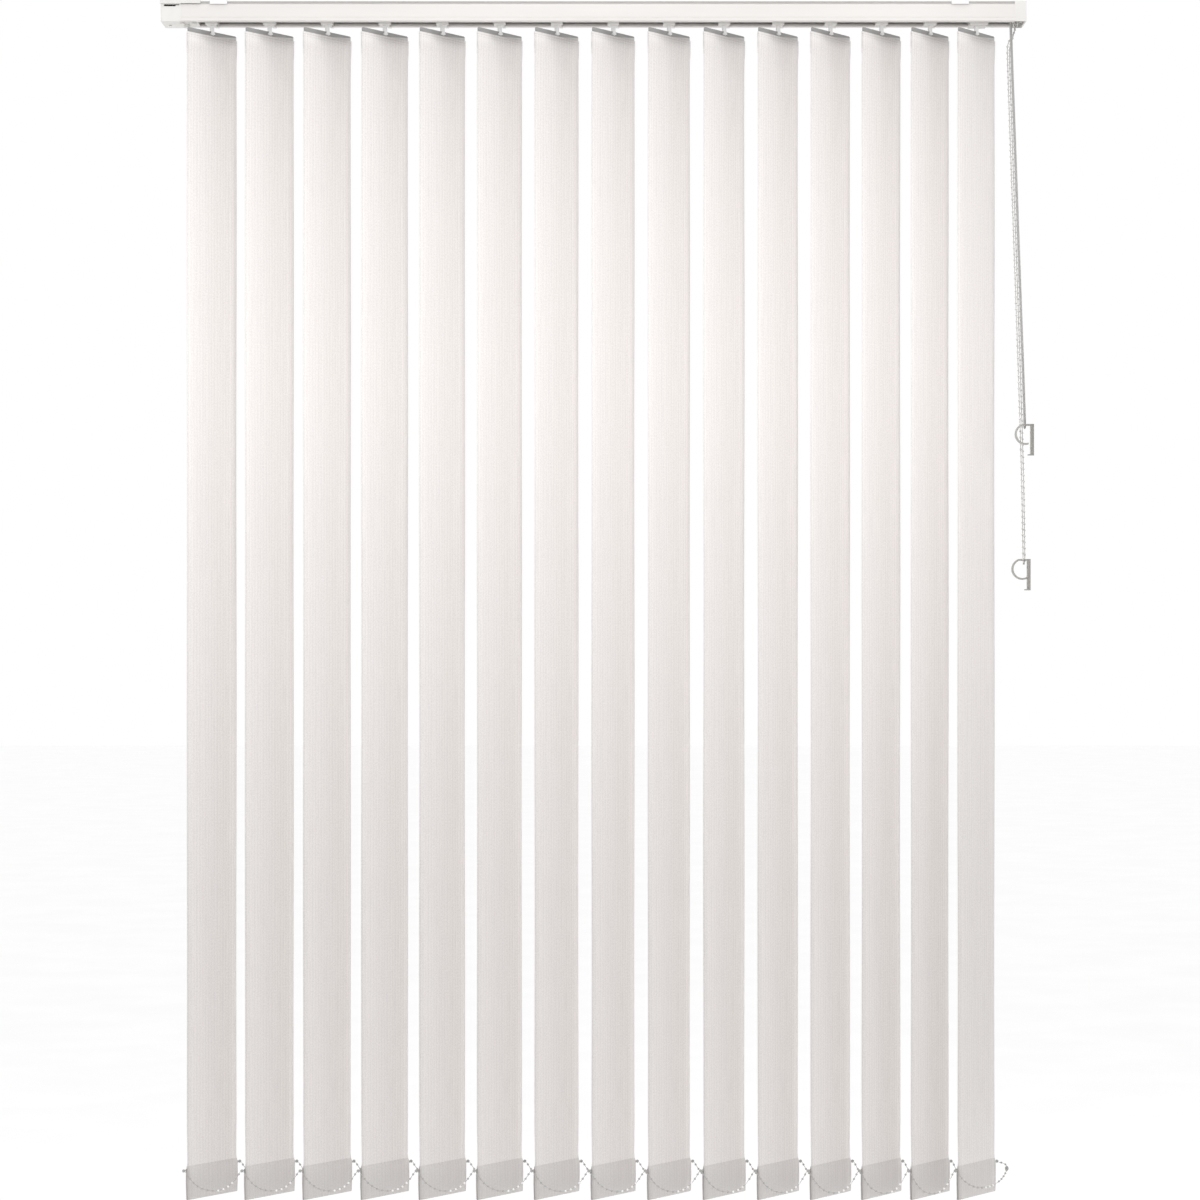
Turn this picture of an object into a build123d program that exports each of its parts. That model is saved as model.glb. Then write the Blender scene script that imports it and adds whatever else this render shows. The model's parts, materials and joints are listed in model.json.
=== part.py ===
from build123d import *
import os
from math import cos, degrees, pi, radians, sin, sqrt, tan

os.makedirs("parts", exist_ok=True)

# A vertical blind: a ceiling-fixed head rail, fifteen carriers that slide in it, and a fabric
# slat hooked under each. A cord draws the carriers and a bead chain turns the slats.
# Millimetres. The origin is on the ceiling, midway between the two ceiling clips' screws.
# +X runs along the rail to the control end, -Y faces the room and +Z is up.

# ---------------------------------------------------------------- overall sizes
clip_spacing = 1012.0  # ceiling screw to ceiling screw
left_overhang = 77.5  # left screw to the idle end of the rail assembly
right_overhang = 90.5  # right screw to the control end
drop = 1635.6  # ceiling to the lower edge of the slats

# ---------------------------------------------------------------- head rail
rail_width = 45.0
rail_height = 27.2
rail_wall = 1.4
rail_slot = 27.0  # the open slot along the underside
rail_lip = 1.2  # the clip lip along each top edge
rail_lip_groove = 1.3  # how deep the groove under that lip is
rail_lip_groove_height = 2.2
rail_upturn_width = 1.2
rail_upturn_height = 1.6  # the upturned edge of each bottom flange
rail_line_height = 5.0  # a fine line along each face, above the lower edge
rail_line_depth = 0.4
rail_corner = 0.8

# ---------------------------------------------------------------- ends and clips
idle_cap_length = 26.0
control_cap_length = 16.0
cap_proud = 0.3  # the caps stand this much outside the rail's section
cap_wall = 1.6
clip_length = 24.0
clip_thickness = 1.4
clip_side = 1.5
clip_skirt = 5.9  # how far a clip's sides reach down
screw_radius = 2.25
fit_gap = 0.1  # between pieces that sit on each other
running_gap = 0.3  # between pieces that move past each other

# ---------------------------------------------------------------- slats
slat_count = 15
slat_width = 89.0
slat_angle = 48.5  # from the rail's line, turned about the stem
fabric = 0.5
hem_height = 46.0
first_slat = 65.7  # idle end of the assembly to the first stem
full_pitch = 79.1  # the spacer strips' longest reach
pitch_shortfall = 15.6  # how much of that reach the last link leaves folded

# ---------------------------------------------------------------- carriers
carrier_length = 16.0
leader_back = 10.4  # the leader reaches this far back from its stem
leader_front = 15.0
carrier_top_gap = 4.6  # carrier's roof below the rail's inner roof
neck_width = 24.0
neck_drop = 2.3  # the neck below the rail
neck_back = 9.0
stack_gap = 0.6  # between stacked carriers' tails

# ---------------------------------------------------------------- tilt gear
rod_radius = 2.9
rod_groove_radius = 0.6
worm_radius = 5.0
worm_length = 12.0
pinion_radius = 5.0
pinion_teeth = 12
pinion_height = 6.0
gear_gap = 0.2  # tip to tip, since the sleeves don't turn in this model
gear_drop = 18.5  # gear centre below the rail's top

# ---------------------------------------------------------------- spacer strips
strip_levels = 6
strip_level_pitch = 0.8
strip_thickness = 0.4
strip_height = 5.4
strip_head_length = 2.0
strip_head_height = 7.0
window_height = 7.6
window_drop = 6.7  # window's upper edge below the rail's top

# ---------------------------------------------------------------- stem and hanger
stem_radius = 3.05
hanger_inset = 1.0  # the hanger plate stops this far inside each edge of the slat
hanger_height = 24.4
hanger_thickness = 1.0
hanger_top = 37.4  # below the rail's top
hook_drop = 3.0  # hook peg below the hanger's top edge
hook_radius = 1.2
prong_thickness = 1.7

# ---------------------------------------------------------------- bottom weight and chain
weight_inset = 2.5  # and the bottom weight this far
weight_height = 42.0
weight_thickness = 2.2
stud_reach = 6.0  # chain stud beyond the slat's edge
stud_radius = 1.0
stud_root = 3.0  # how far a stud is set into the weight
knob_radius = 2.2
knob_rise = 40.6  # above the slat's lower edge
hem_chain_diameter = 3.0
hem_chain_length = 103.0  # chain between two neighbouring studs

# ---------------------------------------------------------------- controls
cord_diameter = 2.0
cord_drop = 10.5  # cord's level below the rail's top
idle_pulley_radius = 3.8  # to the cord's centre
sheave_radius = 4.0
sheave_width = 4.0
bead_diameter = 3.2
bead_pitch = 8.4
wheel_pockets = 6
wheel_width = 7.0
tensioner_width = 6.0
tensioner_strip = 2.4
cord_loop_drop = 577.7  # ceiling to the top of the cord's hold-down
chain_loop_drop = 762.0  # ceiling to the top of the chain's hold-down
hold_down_length = 43.0
hold_down_ring_width = 21.0
hold_down_ring_height = 26.7
hold_down_plate = 4.6
hold_down_screws = 22.0
hold_down_screw_radius = 1.8

# ---------------------------------------------------------------- worked-out places
rail_top = -clip_thickness - fit_gap
rail_bottom = rail_top - rail_height
assembly_left = -clip_spacing / 2 - left_overhang
assembly_right = clip_spacing / 2 + right_overhang
rail_left = assembly_left + idle_cap_length
rail_right = assembly_right - control_cap_length
half_rail = rail_width / 2
inner_half = half_rail - rail_wall
inner_top_half = inner_half - rail_lip_groove
inner_roof = rail_top - rail_wall
inner_floor = rail_bottom + rail_wall

last_link = slat_count - 2
pitches = [full_pitch - pitch_shortfall * (k / last_link) ** 3 for k in range(slat_count - 1)]
stem_x = [assembly_left + first_slat + sum(pitches[:k]) for k in range(slat_count)]

carrier_half = carrier_length / 2
carrier_roof = inner_roof - carrier_top_gap
carrier_floor = inner_floor + running_gap
neck_bottom = rail_bottom - neck_drop
tail_reach = carrier_half + stack_gap

gear_z = rail_top - gear_drop
rod_y = worm_radius + pinion_radius + gear_gap
pinion_bottom = gear_z - pinion_height / 2
cord_z = rail_top - cord_drop
window_top = rail_top - window_drop
window_bottom = window_top - window_height
window_half = strip_levels * strip_level_pitch / 2 + 0.2
rear_cord_y = -window_half - running_gap - cord_diameter / 2 - 0.9
front_cord_y = rear_cord_y - 2 * idle_pulley_radius
strip_reach = full_pitch + carrier_half + 0.2

hanger_upper = rail_top - hanger_top
hook_z = hanger_upper - hook_drop
prong_offset = hanger_thickness / 2 + 0.2
fabric_top = hanger_upper - 6.1
hanger_lower = hanger_upper - hanger_height
slat_bottom = -drop
hem_top = slat_bottom + hem_height
knob_z = slat_bottom + knob_rise
knob_reach = slat_width / 2 + stud_reach
hanger_width = slat_width - 2 * hanger_inset
weight_width = slat_width - 2 * weight_inset

turn = radians(slat_angle)
along = Vector(cos(turn), sin(turn), 0)  # slat's own width direction
across = Vector(-sin(turn), cos(turn), 0)  # out of the slat, towards the window


def strip_level(number):
    """The sideways place of a carrier's spacer strip, so that stacked strips nest."""
    step = number % strip_levels
    return (step - (strip_levels - 1) / 2) * strip_level_pitch


def slat_section(x):
    """A plane across the slat at stem x: its own x is out of the slat and its y is up."""
    return Plane(origin=(x, 0, 0), x_dir=across, z_dir=along)


def slat_face(x):
    """The slat's own plane at stem x: its own x is along the slat's width and its y is up."""
    return Plane(origin=(x, 0, 0), x_dir=along, z_dir=-across)


# ---------------------------------------------------------------- head rail
groove_top = rail_top - rail_lip
groove_bottom = groove_top - rail_lip_groove_height
groove_half = half_rail - rail_lip_groove
line_z = rail_bottom + rail_line_height
upturn_inner = rail_slot / 2
upturn_outer = upturn_inner + rail_upturn_width

with BuildPart() as head_rail:
    with BuildSketch(Plane.YZ.offset(rail_left)) as rail_profile:
        with BuildLine():
            Polyline(
                (0, rail_top),
                (half_rail, rail_top),
                (half_rail, groove_top),
                (groove_half, groove_top),
                (groove_half, groove_bottom),
                (half_rail, groove_bottom - rail_lip_groove),
                (half_rail, line_z + rail_line_depth),
                (half_rail - rail_line_depth, line_z),
                (half_rail, line_z - rail_line_depth),
                (half_rail, rail_bottom),
                (upturn_inner, rail_bottom),
                (upturn_inner, inner_floor + rail_upturn_height),
                (upturn_outer, inner_floor + rail_upturn_height),
                (upturn_outer, inner_floor),
                (inner_half, inner_floor),
                (inner_half, groove_bottom - rail_wall / 2 - rail_lip_groove),
                (inner_top_half, groove_bottom - rail_wall / 2),
                (inner_top_half, inner_roof),
                (0, inner_roof),
            )
            mirror(about=Plane.YZ)
        make_face()
        low_corners = rail_profile.vertices().group_by(Axis.Y)[0].sort_by(Axis.X)
        fillet([low_corners[0], low_corners[-1]], radius=rail_corner)
    extrude(amount=rail_right - rail_left)
head_rail.part.label = "head_rail"
export_step(head_rail.part, "parts/head_rail.step")

# ---------------------------------------------------------------- ceiling clips
clip_half = half_rail + running_gap + clip_side
hook_top = groove_top - running_gap
hook_tip = groove_half + running_gap

with BuildPart() as ceiling_clips:
    for clip_x in (-clip_spacing / 2, clip_spacing / 2):
        with BuildSketch(Plane.YZ.offset(clip_x - clip_length / 2)):
            with BuildLine():
                Polyline(
                    (0, 0),
                    (clip_half, 0),
                    (clip_half, -clip_skirt),
                    (clip_half - clip_side, -clip_skirt + clip_side / 2),
                    (hook_tip, hook_top - 1.4),
                    (hook_tip, hook_top),
                    (clip_half - clip_side, hook_top),
                    (clip_half - clip_side, -clip_thickness),
                    (0, -clip_thickness),
                )
                mirror(about=Plane.YZ)
            make_face()
        extrude(amount=clip_length)
    with Locations((-clip_spacing / 2, 0, 0), (clip_spacing / 2, 0, 0)):
        Hole(radius=screw_radius)
    chamfer(ceiling_clips.edges().filter_by(Axis.Z).group_by(Axis.Y)[0], length=0.6)
ceiling_clips.part.label = "ceiling_clips"
export_step(ceiling_clips.part, "parts/ceiling_clips.step")

# ---------------------------------------------------------------- idle end cap
cap_half = half_rail + cap_proud
cap_bottom = rail_bottom - cap_proud
plug_half = rail_slot / 2 - running_gap - 0.3
plug_reach = 22.0
idle_pulley_x = assembly_left + 13.0
idle_pulley_y = (front_cord_y + rear_cord_y) / 2
bearing_wall = 2.5
strip_left = assembly_left - 2.7
strip_right = assembly_left + 52.9
flange = 1.4

with BuildPart() as idle_end_cap:
    # the boxed end, hollow and open to the rail
    with BuildSketch(Plane.YZ.offset(assembly_left)):
        with BuildLine():
            Polyline(
                (0, rail_top),
                (cap_half, rail_top),
                (cap_half, cap_bottom),
                (0, cap_bottom),
            )
            mirror(about=Plane.YZ)
        make_face()
    extrude(amount=idle_cap_length)
    with BuildSketch(Plane.YZ.offset(assembly_left + cap_wall)):
        with Locations((0, (rail_top + cap_bottom) / 2)):
            Rectangle(2 * (cap_half - cap_wall), rail_top - cap_bottom - 2 * cap_wall)
    extrude(amount=idle_cap_length, mode=Mode.SUBTRACT)
    # a thin flange round the outer face
    with BuildSketch(Plane.YZ.offset(assembly_left - flange)):
        with Locations((0, (rail_top + cap_bottom) / 2)):
            RectangleRounded(2 * cap_half + 0.8, rail_top - cap_bottom, radius=1.2)
    extrude(amount=flange)
    # the bearing wall that carries the tilt rod and lets the cord through
    with BuildSketch(Plane.YZ.offset(rail_left - bearing_wall)):
        with Locations((0, (rail_top + cap_bottom) / 2)):
            Rectangle(2 * (cap_half - cap_wall), rail_top - cap_bottom - 2 * cap_wall)
        with Locations((rod_y, gear_z)):
            Circle(rod_radius + fit_gap, mode=Mode.SUBTRACT)
        with Locations((front_cord_y, cord_z), (rear_cord_y, cord_z)):
            Circle(cord_diameter / 2 + running_gap, mode=Mode.SUBTRACT)
    extrude(amount=bearing_wall)
    # the pin that the idle pulley turns on
    with BuildSketch(Plane.XY.offset(rail_top - cap_wall)):
        with Locations((idle_pulley_x, idle_pulley_y)):
            Circle(1.4)
    extrude(amount=-(rail_top - cap_wall - cord_z) - sheave_width / 2 - 1.5)
    # the plug that closes the slot for a short way, with its lugs and round boss
    with BuildSketch(Plane.XY.offset(rail_bottom)):
        with Locations((rail_left + plug_reach / 2 - 1.5, 0)):
            Rectangle(plug_reach + 3.0, 2 * plug_half)
    extrude(amount=4.5)
    with BuildSketch(Plane.XY.offset(rail_bottom)):
        with Locations((rail_left, -plug_half + 4.0), (rail_left + 16.5, -plug_half + 4.0)):
            Rectangle(5.6, 8.0)
    extrude(amount=-2.0)
    with BuildSketch(Plane.XY.offset(rail_bottom + 0.5)):
        with Locations((rail_left + 5.5, 2.0)):
            Circle(4.1)
    extrude(amount=-5.0)
    # the top strip, a flat bar that turns down in front
    with BuildSketch(Plane.YZ.offset(strip_left)):
        with BuildLine():
            Polyline(
                (0, 0),
                (clip_half, 0),
                (clip_half, -clip_skirt + 1.0),
                (clip_half - clip_thickness, -clip_skirt + 1.0),
                (clip_half - clip_thickness, -clip_thickness),
                (0, -clip_thickness),
            )
            mirror(about=Plane.YZ)
        make_face()
    extrude(amount=strip_right - strip_left)
    with BuildSketch(Plane.XY.offset(-clip_thickness)):
        with Locations((assembly_left + 11.0, 0)):
            Rectangle(22.0, 2 * cap_half - 4.0)
    extrude(amount=-fit_gap)
    # slots in the front face, under the strip, and a hole in the floor
    with BuildSketch(Plane.XZ.offset(cap_half + 1.0)):
        with Locations((assembly_left + 11.0, -7.4)):
            Rectangle(16.0, 2.8)
        with Locations((assembly_left + 21.0, -6.7)):
            Rectangle(6.0, 1.4)
    extrude(amount=-4.0, mode=Mode.SUBTRACT)
    with BuildSketch(Plane.XY.offset(cap_bottom - 1.0)):
        with Locations((assembly_left + 8.2, 5.0)):
            Circle(2.4)
    extrude(amount=4.0, mode=Mode.SUBTRACT)
idle_end_cap.part.label = "idle_end_cap"
export_step(idle_end_cap.part, "parts/idle_end_cap.step")

# ---------------------------------------------------------------- control end cap
front_strand_x = rail_right - 5.0
rear_strand_x = rail_right - 2.2
front_sheave_x = front_strand_x - sheave_radius
rear_sheave_x = rear_strand_x - sheave_radius
sheave_z = cord_z - sheave_radius
sheave_pin = 1.5
sheave_rim = sheave_radius + 1.0
wheel_x = rail_right + 5.2
wheel_pitch_radius = wheel_pockets * bead_pitch / (2 * pi)
wheel_rim = wheel_pitch_radius + 1.2
web_front = front_cord_y + sheave_width / 2 + running_gap
web_back = rear_cord_y - sheave_width / 2 - running_gap
web_left = front_sheave_x - sheave_rim - 2.0
bearing_x = rear_strand_x + cord_diameter / 2 + 0.5
bearing_height = 12.0

with BuildPart() as control_end_cap:
    # the boxed end, open underneath and to the rail
    with BuildSketch(Plane.YZ.offset(rail_right)):
        with BuildLine():
            Polyline(
                (0, rail_top),
                (cap_half, rail_top),
                (cap_half, cap_bottom),
                (cap_half - cap_wall, cap_bottom),
                (cap_half - cap_wall, rail_top - cap_wall),
                (0, rail_top - cap_wall),
            )
            mirror(about=Plane.YZ)
        make_face()
    extrude(amount=control_cap_length)
    with BuildSketch(Plane.YZ.offset(assembly_right - cap_wall)):
        with Locations((0, (rail_top + cap_bottom) / 2)):
            Rectangle(2 * cap_half, rail_top - cap_bottom)
    extrude(amount=cap_wall)
    fillet(control_end_cap.edges().filter_by(Axis.Z).group_by(Axis.X)[-1], radius=1.0)
    # the web between the two sheaves, inside the rail, with a pin on each side
    with BuildSketch(Plane.XZ.offset(-web_back)):
        with BuildLine():
            Polyline(
                (web_left, cord_z + sheave_radius),
                (assembly_right - cap_wall, cord_z + sheave_radius),
                (assembly_right - cap_wall, sheave_z - sheave_rim - 3.0),
                (web_left + 3.0, sheave_z - sheave_rim - 3.0),
                (web_left, sheave_z - sheave_rim),
                close=True,
            )
        make_face()
    extrude(amount=web_back - web_front)
    with BuildSketch(Plane.XZ.offset(-web_front)):
        with Locations((front_sheave_x, sheave_z)):
            Circle(sheave_pin)
    extrude(amount=sheave_width + running_gap + 0.5)
    with BuildSketch(Plane.XZ.offset(-web_back)):
        with Locations((rear_sheave_x, sheave_z)):
            Circle(sheave_pin)
    extrude(amount=-(sheave_width + running_gap + 0.5))
    # the bearing plate for the tilt rod, and the boss that takes its end
    with BuildSketch(Plane.YZ.offset(bearing_x)):
        with Locations(((web_front + inner_half - 1.0) / 2, gear_z + 0.5)):
            Rectangle(inner_half - 1.0 - web_front, bearing_height)
        with Locations((rod_y, gear_z)):
            Circle(rod_radius + fit_gap, mode=Mode.SUBTRACT)
    extrude(amount=2.0)
    with BuildSketch(Plane.YZ.offset(assembly_right - cap_wall)):
        with Locations((rod_y, gear_z)):
            Circle(rod_radius + 2.0)
            Circle(rod_radius + fit_gap, mode=Mode.SUBTRACT)
    extrude(amount=-4.0)
control_end_cap.part.label = "control_end_cap"
export_step(control_end_cap.part, "parts/control_end_cap.step")

# ---------------------------------------------------------------- tilt rod and chain wheel
rod_left = rail_left - bearing_wall - 1.0
rod_right = assembly_right - cap_wall - 0.5

with BuildPart() as tilt_rod:
    with BuildSketch(Plane.YZ.offset(rod_left)):
        with Locations((rod_y, gear_z)):
            Circle(rod_radius)
            with PolarLocations(rod_radius, 3):
                Circle(rod_groove_radius, mode=Mode.SUBTRACT)
    extrude(amount=rod_right - rod_left)
tilt_rod.part.label = "tilt_rod"
export_step(tilt_rod.part, "parts/tilt_rod.step")

groove_floor = wheel_pitch_radius - bead_diameter / 2 - 0.2
groove_width = bead_diameter + 0.8

with BuildPart() as chain_wheel:
    with BuildSketch(Plane.YZ.offset(wheel_x - wheel_width / 2)):
        with Locations((rod_y, gear_z)):
            Circle(wheel_rim)
    extrude(amount=wheel_width)
    with BuildSketch(Plane.YZ.offset(wheel_x - groove_width / 2)):
        with Locations((rod_y, gear_z)):
            Circle(wheel_rim + 1.0)
            Circle(groove_floor, mode=Mode.SUBTRACT)
    extrude(amount=groove_width, mode=Mode.SUBTRACT)
    with Locations(Plane.YZ.offset(wheel_x)):
        with Locations((rod_y, gear_z)):
            with PolarLocations(wheel_pitch_radius, wheel_pockets):
                Sphere(bead_diameter / 2 + 0.5, mode=Mode.SUBTRACT)
    with BuildSketch(Plane.YZ.offset(wheel_x - wheel_width / 2)):
        with Locations((rod_y, gear_z)):
            Circle(rod_radius + 0.02)
    extrude(amount=wheel_width, mode=Mode.SUBTRACT)
chain_wheel.part.label = "chain_wheel"
export_step(chain_wheel.part, "parts/chain_wheel.step")


# ---------------------------------------------------------------- cord pulley and sheaves
def sheave_outline(pitch_radius, bore):
    """Half a grooved wheel's section, from its bore out: x is the radius, y the axis."""
    rim = pitch_radius + 1.0
    floor = pitch_radius - cord_diameter / 2 - 0.15
    flat = cord_diameter / 2 + 0.15
    half = sheave_width / 2
    with BuildLine() as outline:
        Polyline(
            (bore, -half),
            (rim, -half),
            (floor, -flat),
            (floor, flat),
            (rim, half),
            (bore, half),
            close=True,
        )
    return outline.line


with BuildPart() as idle_pulley:
    pulley_middle = (idle_pulley_x, idle_pulley_y, cord_z)
    pulley_plane = Plane(origin=pulley_middle, x_dir=(1, 0, 0), z_dir=(0, -1, 0))
    with BuildSketch(pulley_plane):
        add(sheave_outline(idle_pulley_radius, 1.45))
        make_face()
    revolve(axis=Axis((idle_pulley_x, idle_pulley_y, 0), (0, 0, 1)))
idle_pulley.part.label = "idle_pulley"
export_step(idle_pulley.part, "parts/idle_pulley.step")

for sheave_name, sheave_x, sheave_y in (
    ("front_sheave", front_sheave_x, front_cord_y),
    ("rear_sheave", rear_sheave_x, rear_cord_y),
):
    with BuildPart() as sheave:
        sheave_plane = Plane(origin=(sheave_x, sheave_y, sheave_z), x_dir=(1, 0, 0), z_dir=(0, 0, 1))
        with BuildSketch(sheave_plane):
            add(sheave_outline(sheave_radius, sheave_pin + 0.05))
            make_face()
        revolve(axis=Axis((sheave_x, sheave_y, sheave_z), (0, 1, 0)))
    sheave.part.label = sheave_name
    export_step(sheave.part, f"parts/{sheave_name}.step")

# ---------------------------------------------------------------- carriers
notch_inner = upturn_inner - 0.4
notch_outer = upturn_outer + 0.4
notch_top = inner_floor + rail_upturn_height + running_gap
pinion_room = pinion_radius + 0.6
worm_room = worm_radius + 0.4

for number, x in enumerate(stem_x, start=1):
    leader = number == slat_count
    back = leader_back if leader else carrier_half
    front = leader_front if leader else carrier_half
    with BuildPart() as housing:
        # the body that slides on the rail's bottom flanges
        with BuildSketch(Plane.YZ.offset(x - back)):
            with BuildLine():
                Polyline(
                    (0, carrier_roof),
                    (inner_half - 0.5, carrier_roof),
                    (inner_half - 0.5, carrier_floor),
                    (notch_outer, carrier_floor),
                    (notch_outer, notch_top),
                    (notch_inner, notch_top),
                    (notch_inner, carrier_floor),
                    (neck_width / 2, carrier_floor),
                    (neck_width / 2, rail_bottom),
                    (0, rail_bottom),
                )
                mirror(about=Plane.YZ)
            make_face()
        extrude(amount=back + front)
        # the neck's foot, narrower towards the back, and a small tail on the control side
        with BuildSketch(Plane.XY.offset(neck_bottom)):
            with BuildLine():
                Polyline(
                    (x - back, -neck_width / 2),
                    (x + front, -neck_width / 2),
                    (x + 0.62 * front, neck_back),
                    (x - 0.62 * back, neck_back),
                    close=True,
                )
            make_face()
        extrude(amount=neck_drop)
        with BuildSketch(Plane.XY.offset(neck_bottom)):
            with Locations((x + (3.5 + tail_reach - stack_gap / 2) / 2, 10.5)):
                Rectangle(tail_reach - stack_gap / 2 - 3.5, 9.0)
        extrude(amount=neck_drop - running_gap)
        if leader:
            with BuildSketch(Plane.XY.offset(neck_bottom)):
                with Locations((x + (13.0 - back) / 2, 3.0)):
                    Rectangle(13.0 + back, 18.0)
            extrude(amount=-1.2)
        # the window for the spacer strips
        with BuildSketch(Plane.YZ.offset(x - back)):
            with Locations((0, (window_top + window_bottom) / 2)):
                Rectangle(2 * window_half, window_height)
            with Locations((front_cord_y, cord_z), (rear_cord_y, cord_z)):
                Circle(cord_diameter / 2 + 0.4)
            with Locations((rod_y, gear_z)):
                Circle(rod_radius + running_gap)
        extrude(amount=back + front, mode=Mode.SUBTRACT)
        # rooms for the worm sleeve and the pinion, and the stem's bore
        with BuildSketch(Plane.YZ.offset(x - worm_length / 2 - running_gap)):
            with Locations((rod_y, gear_z)):
                Circle(worm_room)
        extrude(amount=worm_length + 2 * running_gap, mode=Mode.SUBTRACT)
        with BuildSketch(Plane.XY.offset(pinion_bottom - running_gap)):
            with Locations((x, 0)):
                Circle(pinion_room)
        extrude(amount=pinion_height + 2 * running_gap, mode=Mode.SUBTRACT)
        with BuildSketch(Plane.XY.offset(neck_bottom - 2.0)):
            with Locations((x, 0)):
                Circle(stem_radius + 0.25)
        extrude(amount=pinion_bottom - neck_bottom + 2.0, mode=Mode.SUBTRACT)
        # the catch that the previous carrier's strip head meets
        if number > 1:
            rib_height = (window_height - strip_height) / 2 - running_gap
            with BuildSketch(Plane.YZ.offset(x + front - 2.0)):
                with Locations(
                    (strip_level(number - 1), window_top - rib_height / 2),
                    (strip_level(number - 1), window_bottom + rib_height / 2),
                ):
                    Rectangle(0.6, rib_height)
            extrude(amount=2.0)
    with BuildPart() as worm:
        with BuildSketch(Plane.YZ.offset(x - worm_length / 2)):
            with Locations((rod_y, gear_z)):
                Circle(worm_radius - 0.9)
        extrude(amount=worm_length)
        thread_count = 5
        for thread in range(thread_count):
            thread_x = x + (thread - (thread_count - 1) / 2) * worm_length / thread_count
            with BuildSketch(Plane.YZ.offset(thread_x - 0.6)):
                with Locations((rod_y, gear_z)):
                    Circle(worm_radius)
            extrude(amount=1.2)
        with BuildSketch(Plane.YZ.offset(x - worm_length / 2)):
            with Locations((rod_y, gear_z)):
                Circle(rod_radius + fit_gap)
        extrude(amount=worm_length, mode=Mode.SUBTRACT)
    pieces = [housing.part, worm.part]
    if not leader:
        level = strip_level(number)
        middle = (window_top + window_bottom) / 2
        with BuildPart() as strip:
            with BuildSketch(Plane.XZ.offset(-level - strip_thickness / 2)):
                with Locations((x + (strip_reach - 6.0) / 2, middle)):
                    Rectangle(strip_reach + 6.0, strip_height)
                with Locations((x, middle)):
                    Rectangle(12.0, window_height)
                with Locations((x + strip_reach + strip_head_length / 2, middle)):
                    Rectangle(strip_head_length, strip_head_height)
            extrude(amount=strip_thickness)
        pieces.append(strip.part)
    carrier = Compound(label=f"carrier_{number:02d}", children=pieces)
    export_step(carrier, f"parts/carrier_{number:02d}.step")

# ---------------------------------------------------------------- stems and hanger plates
fork_root = hanger_upper + running_gap
prong_foot = hook_z - 1.8

for number, x in enumerate(stem_x, start=1):
    with BuildPart() as stem:
        with BuildSketch(Plane.XY.offset(pinion_bottom)):
            with Locations((x, 0)):
                Circle(pinion_radius - 1.0)
                with PolarLocations(pinion_radius - 0.9, pinion_teeth):
                    Rectangle(1.7, 1.1)
        extrude(amount=pinion_height)
        with BuildSketch(Plane.XY.offset(fork_root)):
            with Locations((x, 0)):
                Circle(stem_radius)
        extrude(amount=pinion_bottom - fork_root)
        # two prongs grip the hanger plate, and a peg between them goes through its slot
        with BuildSketch(slat_face(x).offset(prong_offset)):
            with Locations((0, (fork_root + prong_foot) / 2 + 0.6)):
                Rectangle(4.6, fork_root - prong_foot)
            with Locations((0, hook_z)):
                Ellipse(3.9, 1.8)
        extrude(amount=prong_thickness)
        with BuildSketch(slat_face(x).offset(-prong_offset)):
            with Locations((0, (fork_root + prong_foot) / 2 + 0.6)):
                Rectangle(4.6, fork_root - prong_foot)
            with Locations((0, hook_z)):
                Ellipse(3.9, 1.8)
        extrude(amount=-prong_thickness)
        with BuildSketch(slat_face(x).offset(-prong_offset - 0.2)):
            with Locations((0, hook_z)):
                Circle(hook_radius)
        extrude(amount=2 * prong_offset + 0.4)
    with BuildPart() as plate:
        with BuildSketch(slat_face(x).offset(-hanger_thickness / 2)):
            with Locations((0, (hanger_upper + hanger_lower) / 2)):
                RectangleRounded(hanger_width, hanger_height, radius=2.0)
            with Locations((0, hook_z - 0.3)):
                SlotOverall(8.0, 2 * hook_radius + 0.8, mode=Mode.SUBTRACT)
        extrude(amount=hanger_thickness)
    hanger = Compound(label=f"hanger_{number:02d}", children=[stem.part, plate.part])
    export_step(hanger, f"parts/hanger_{number:02d}.step")

# ---------------------------------------------------------------- slats and bottom weights
top_inner = hanger_thickness / 2 + fit_gap
top_outer = top_inner + fabric
hem_inner = weight_thickness / 2 + fit_gap
hem_outer = hem_inner + 0.8 * fabric
pocket_bottom = hanger_lower - 0.3
weight_bottom = slat_bottom + 0.8 * fabric + 0.2
weight_top = weight_bottom + weight_height

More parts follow.
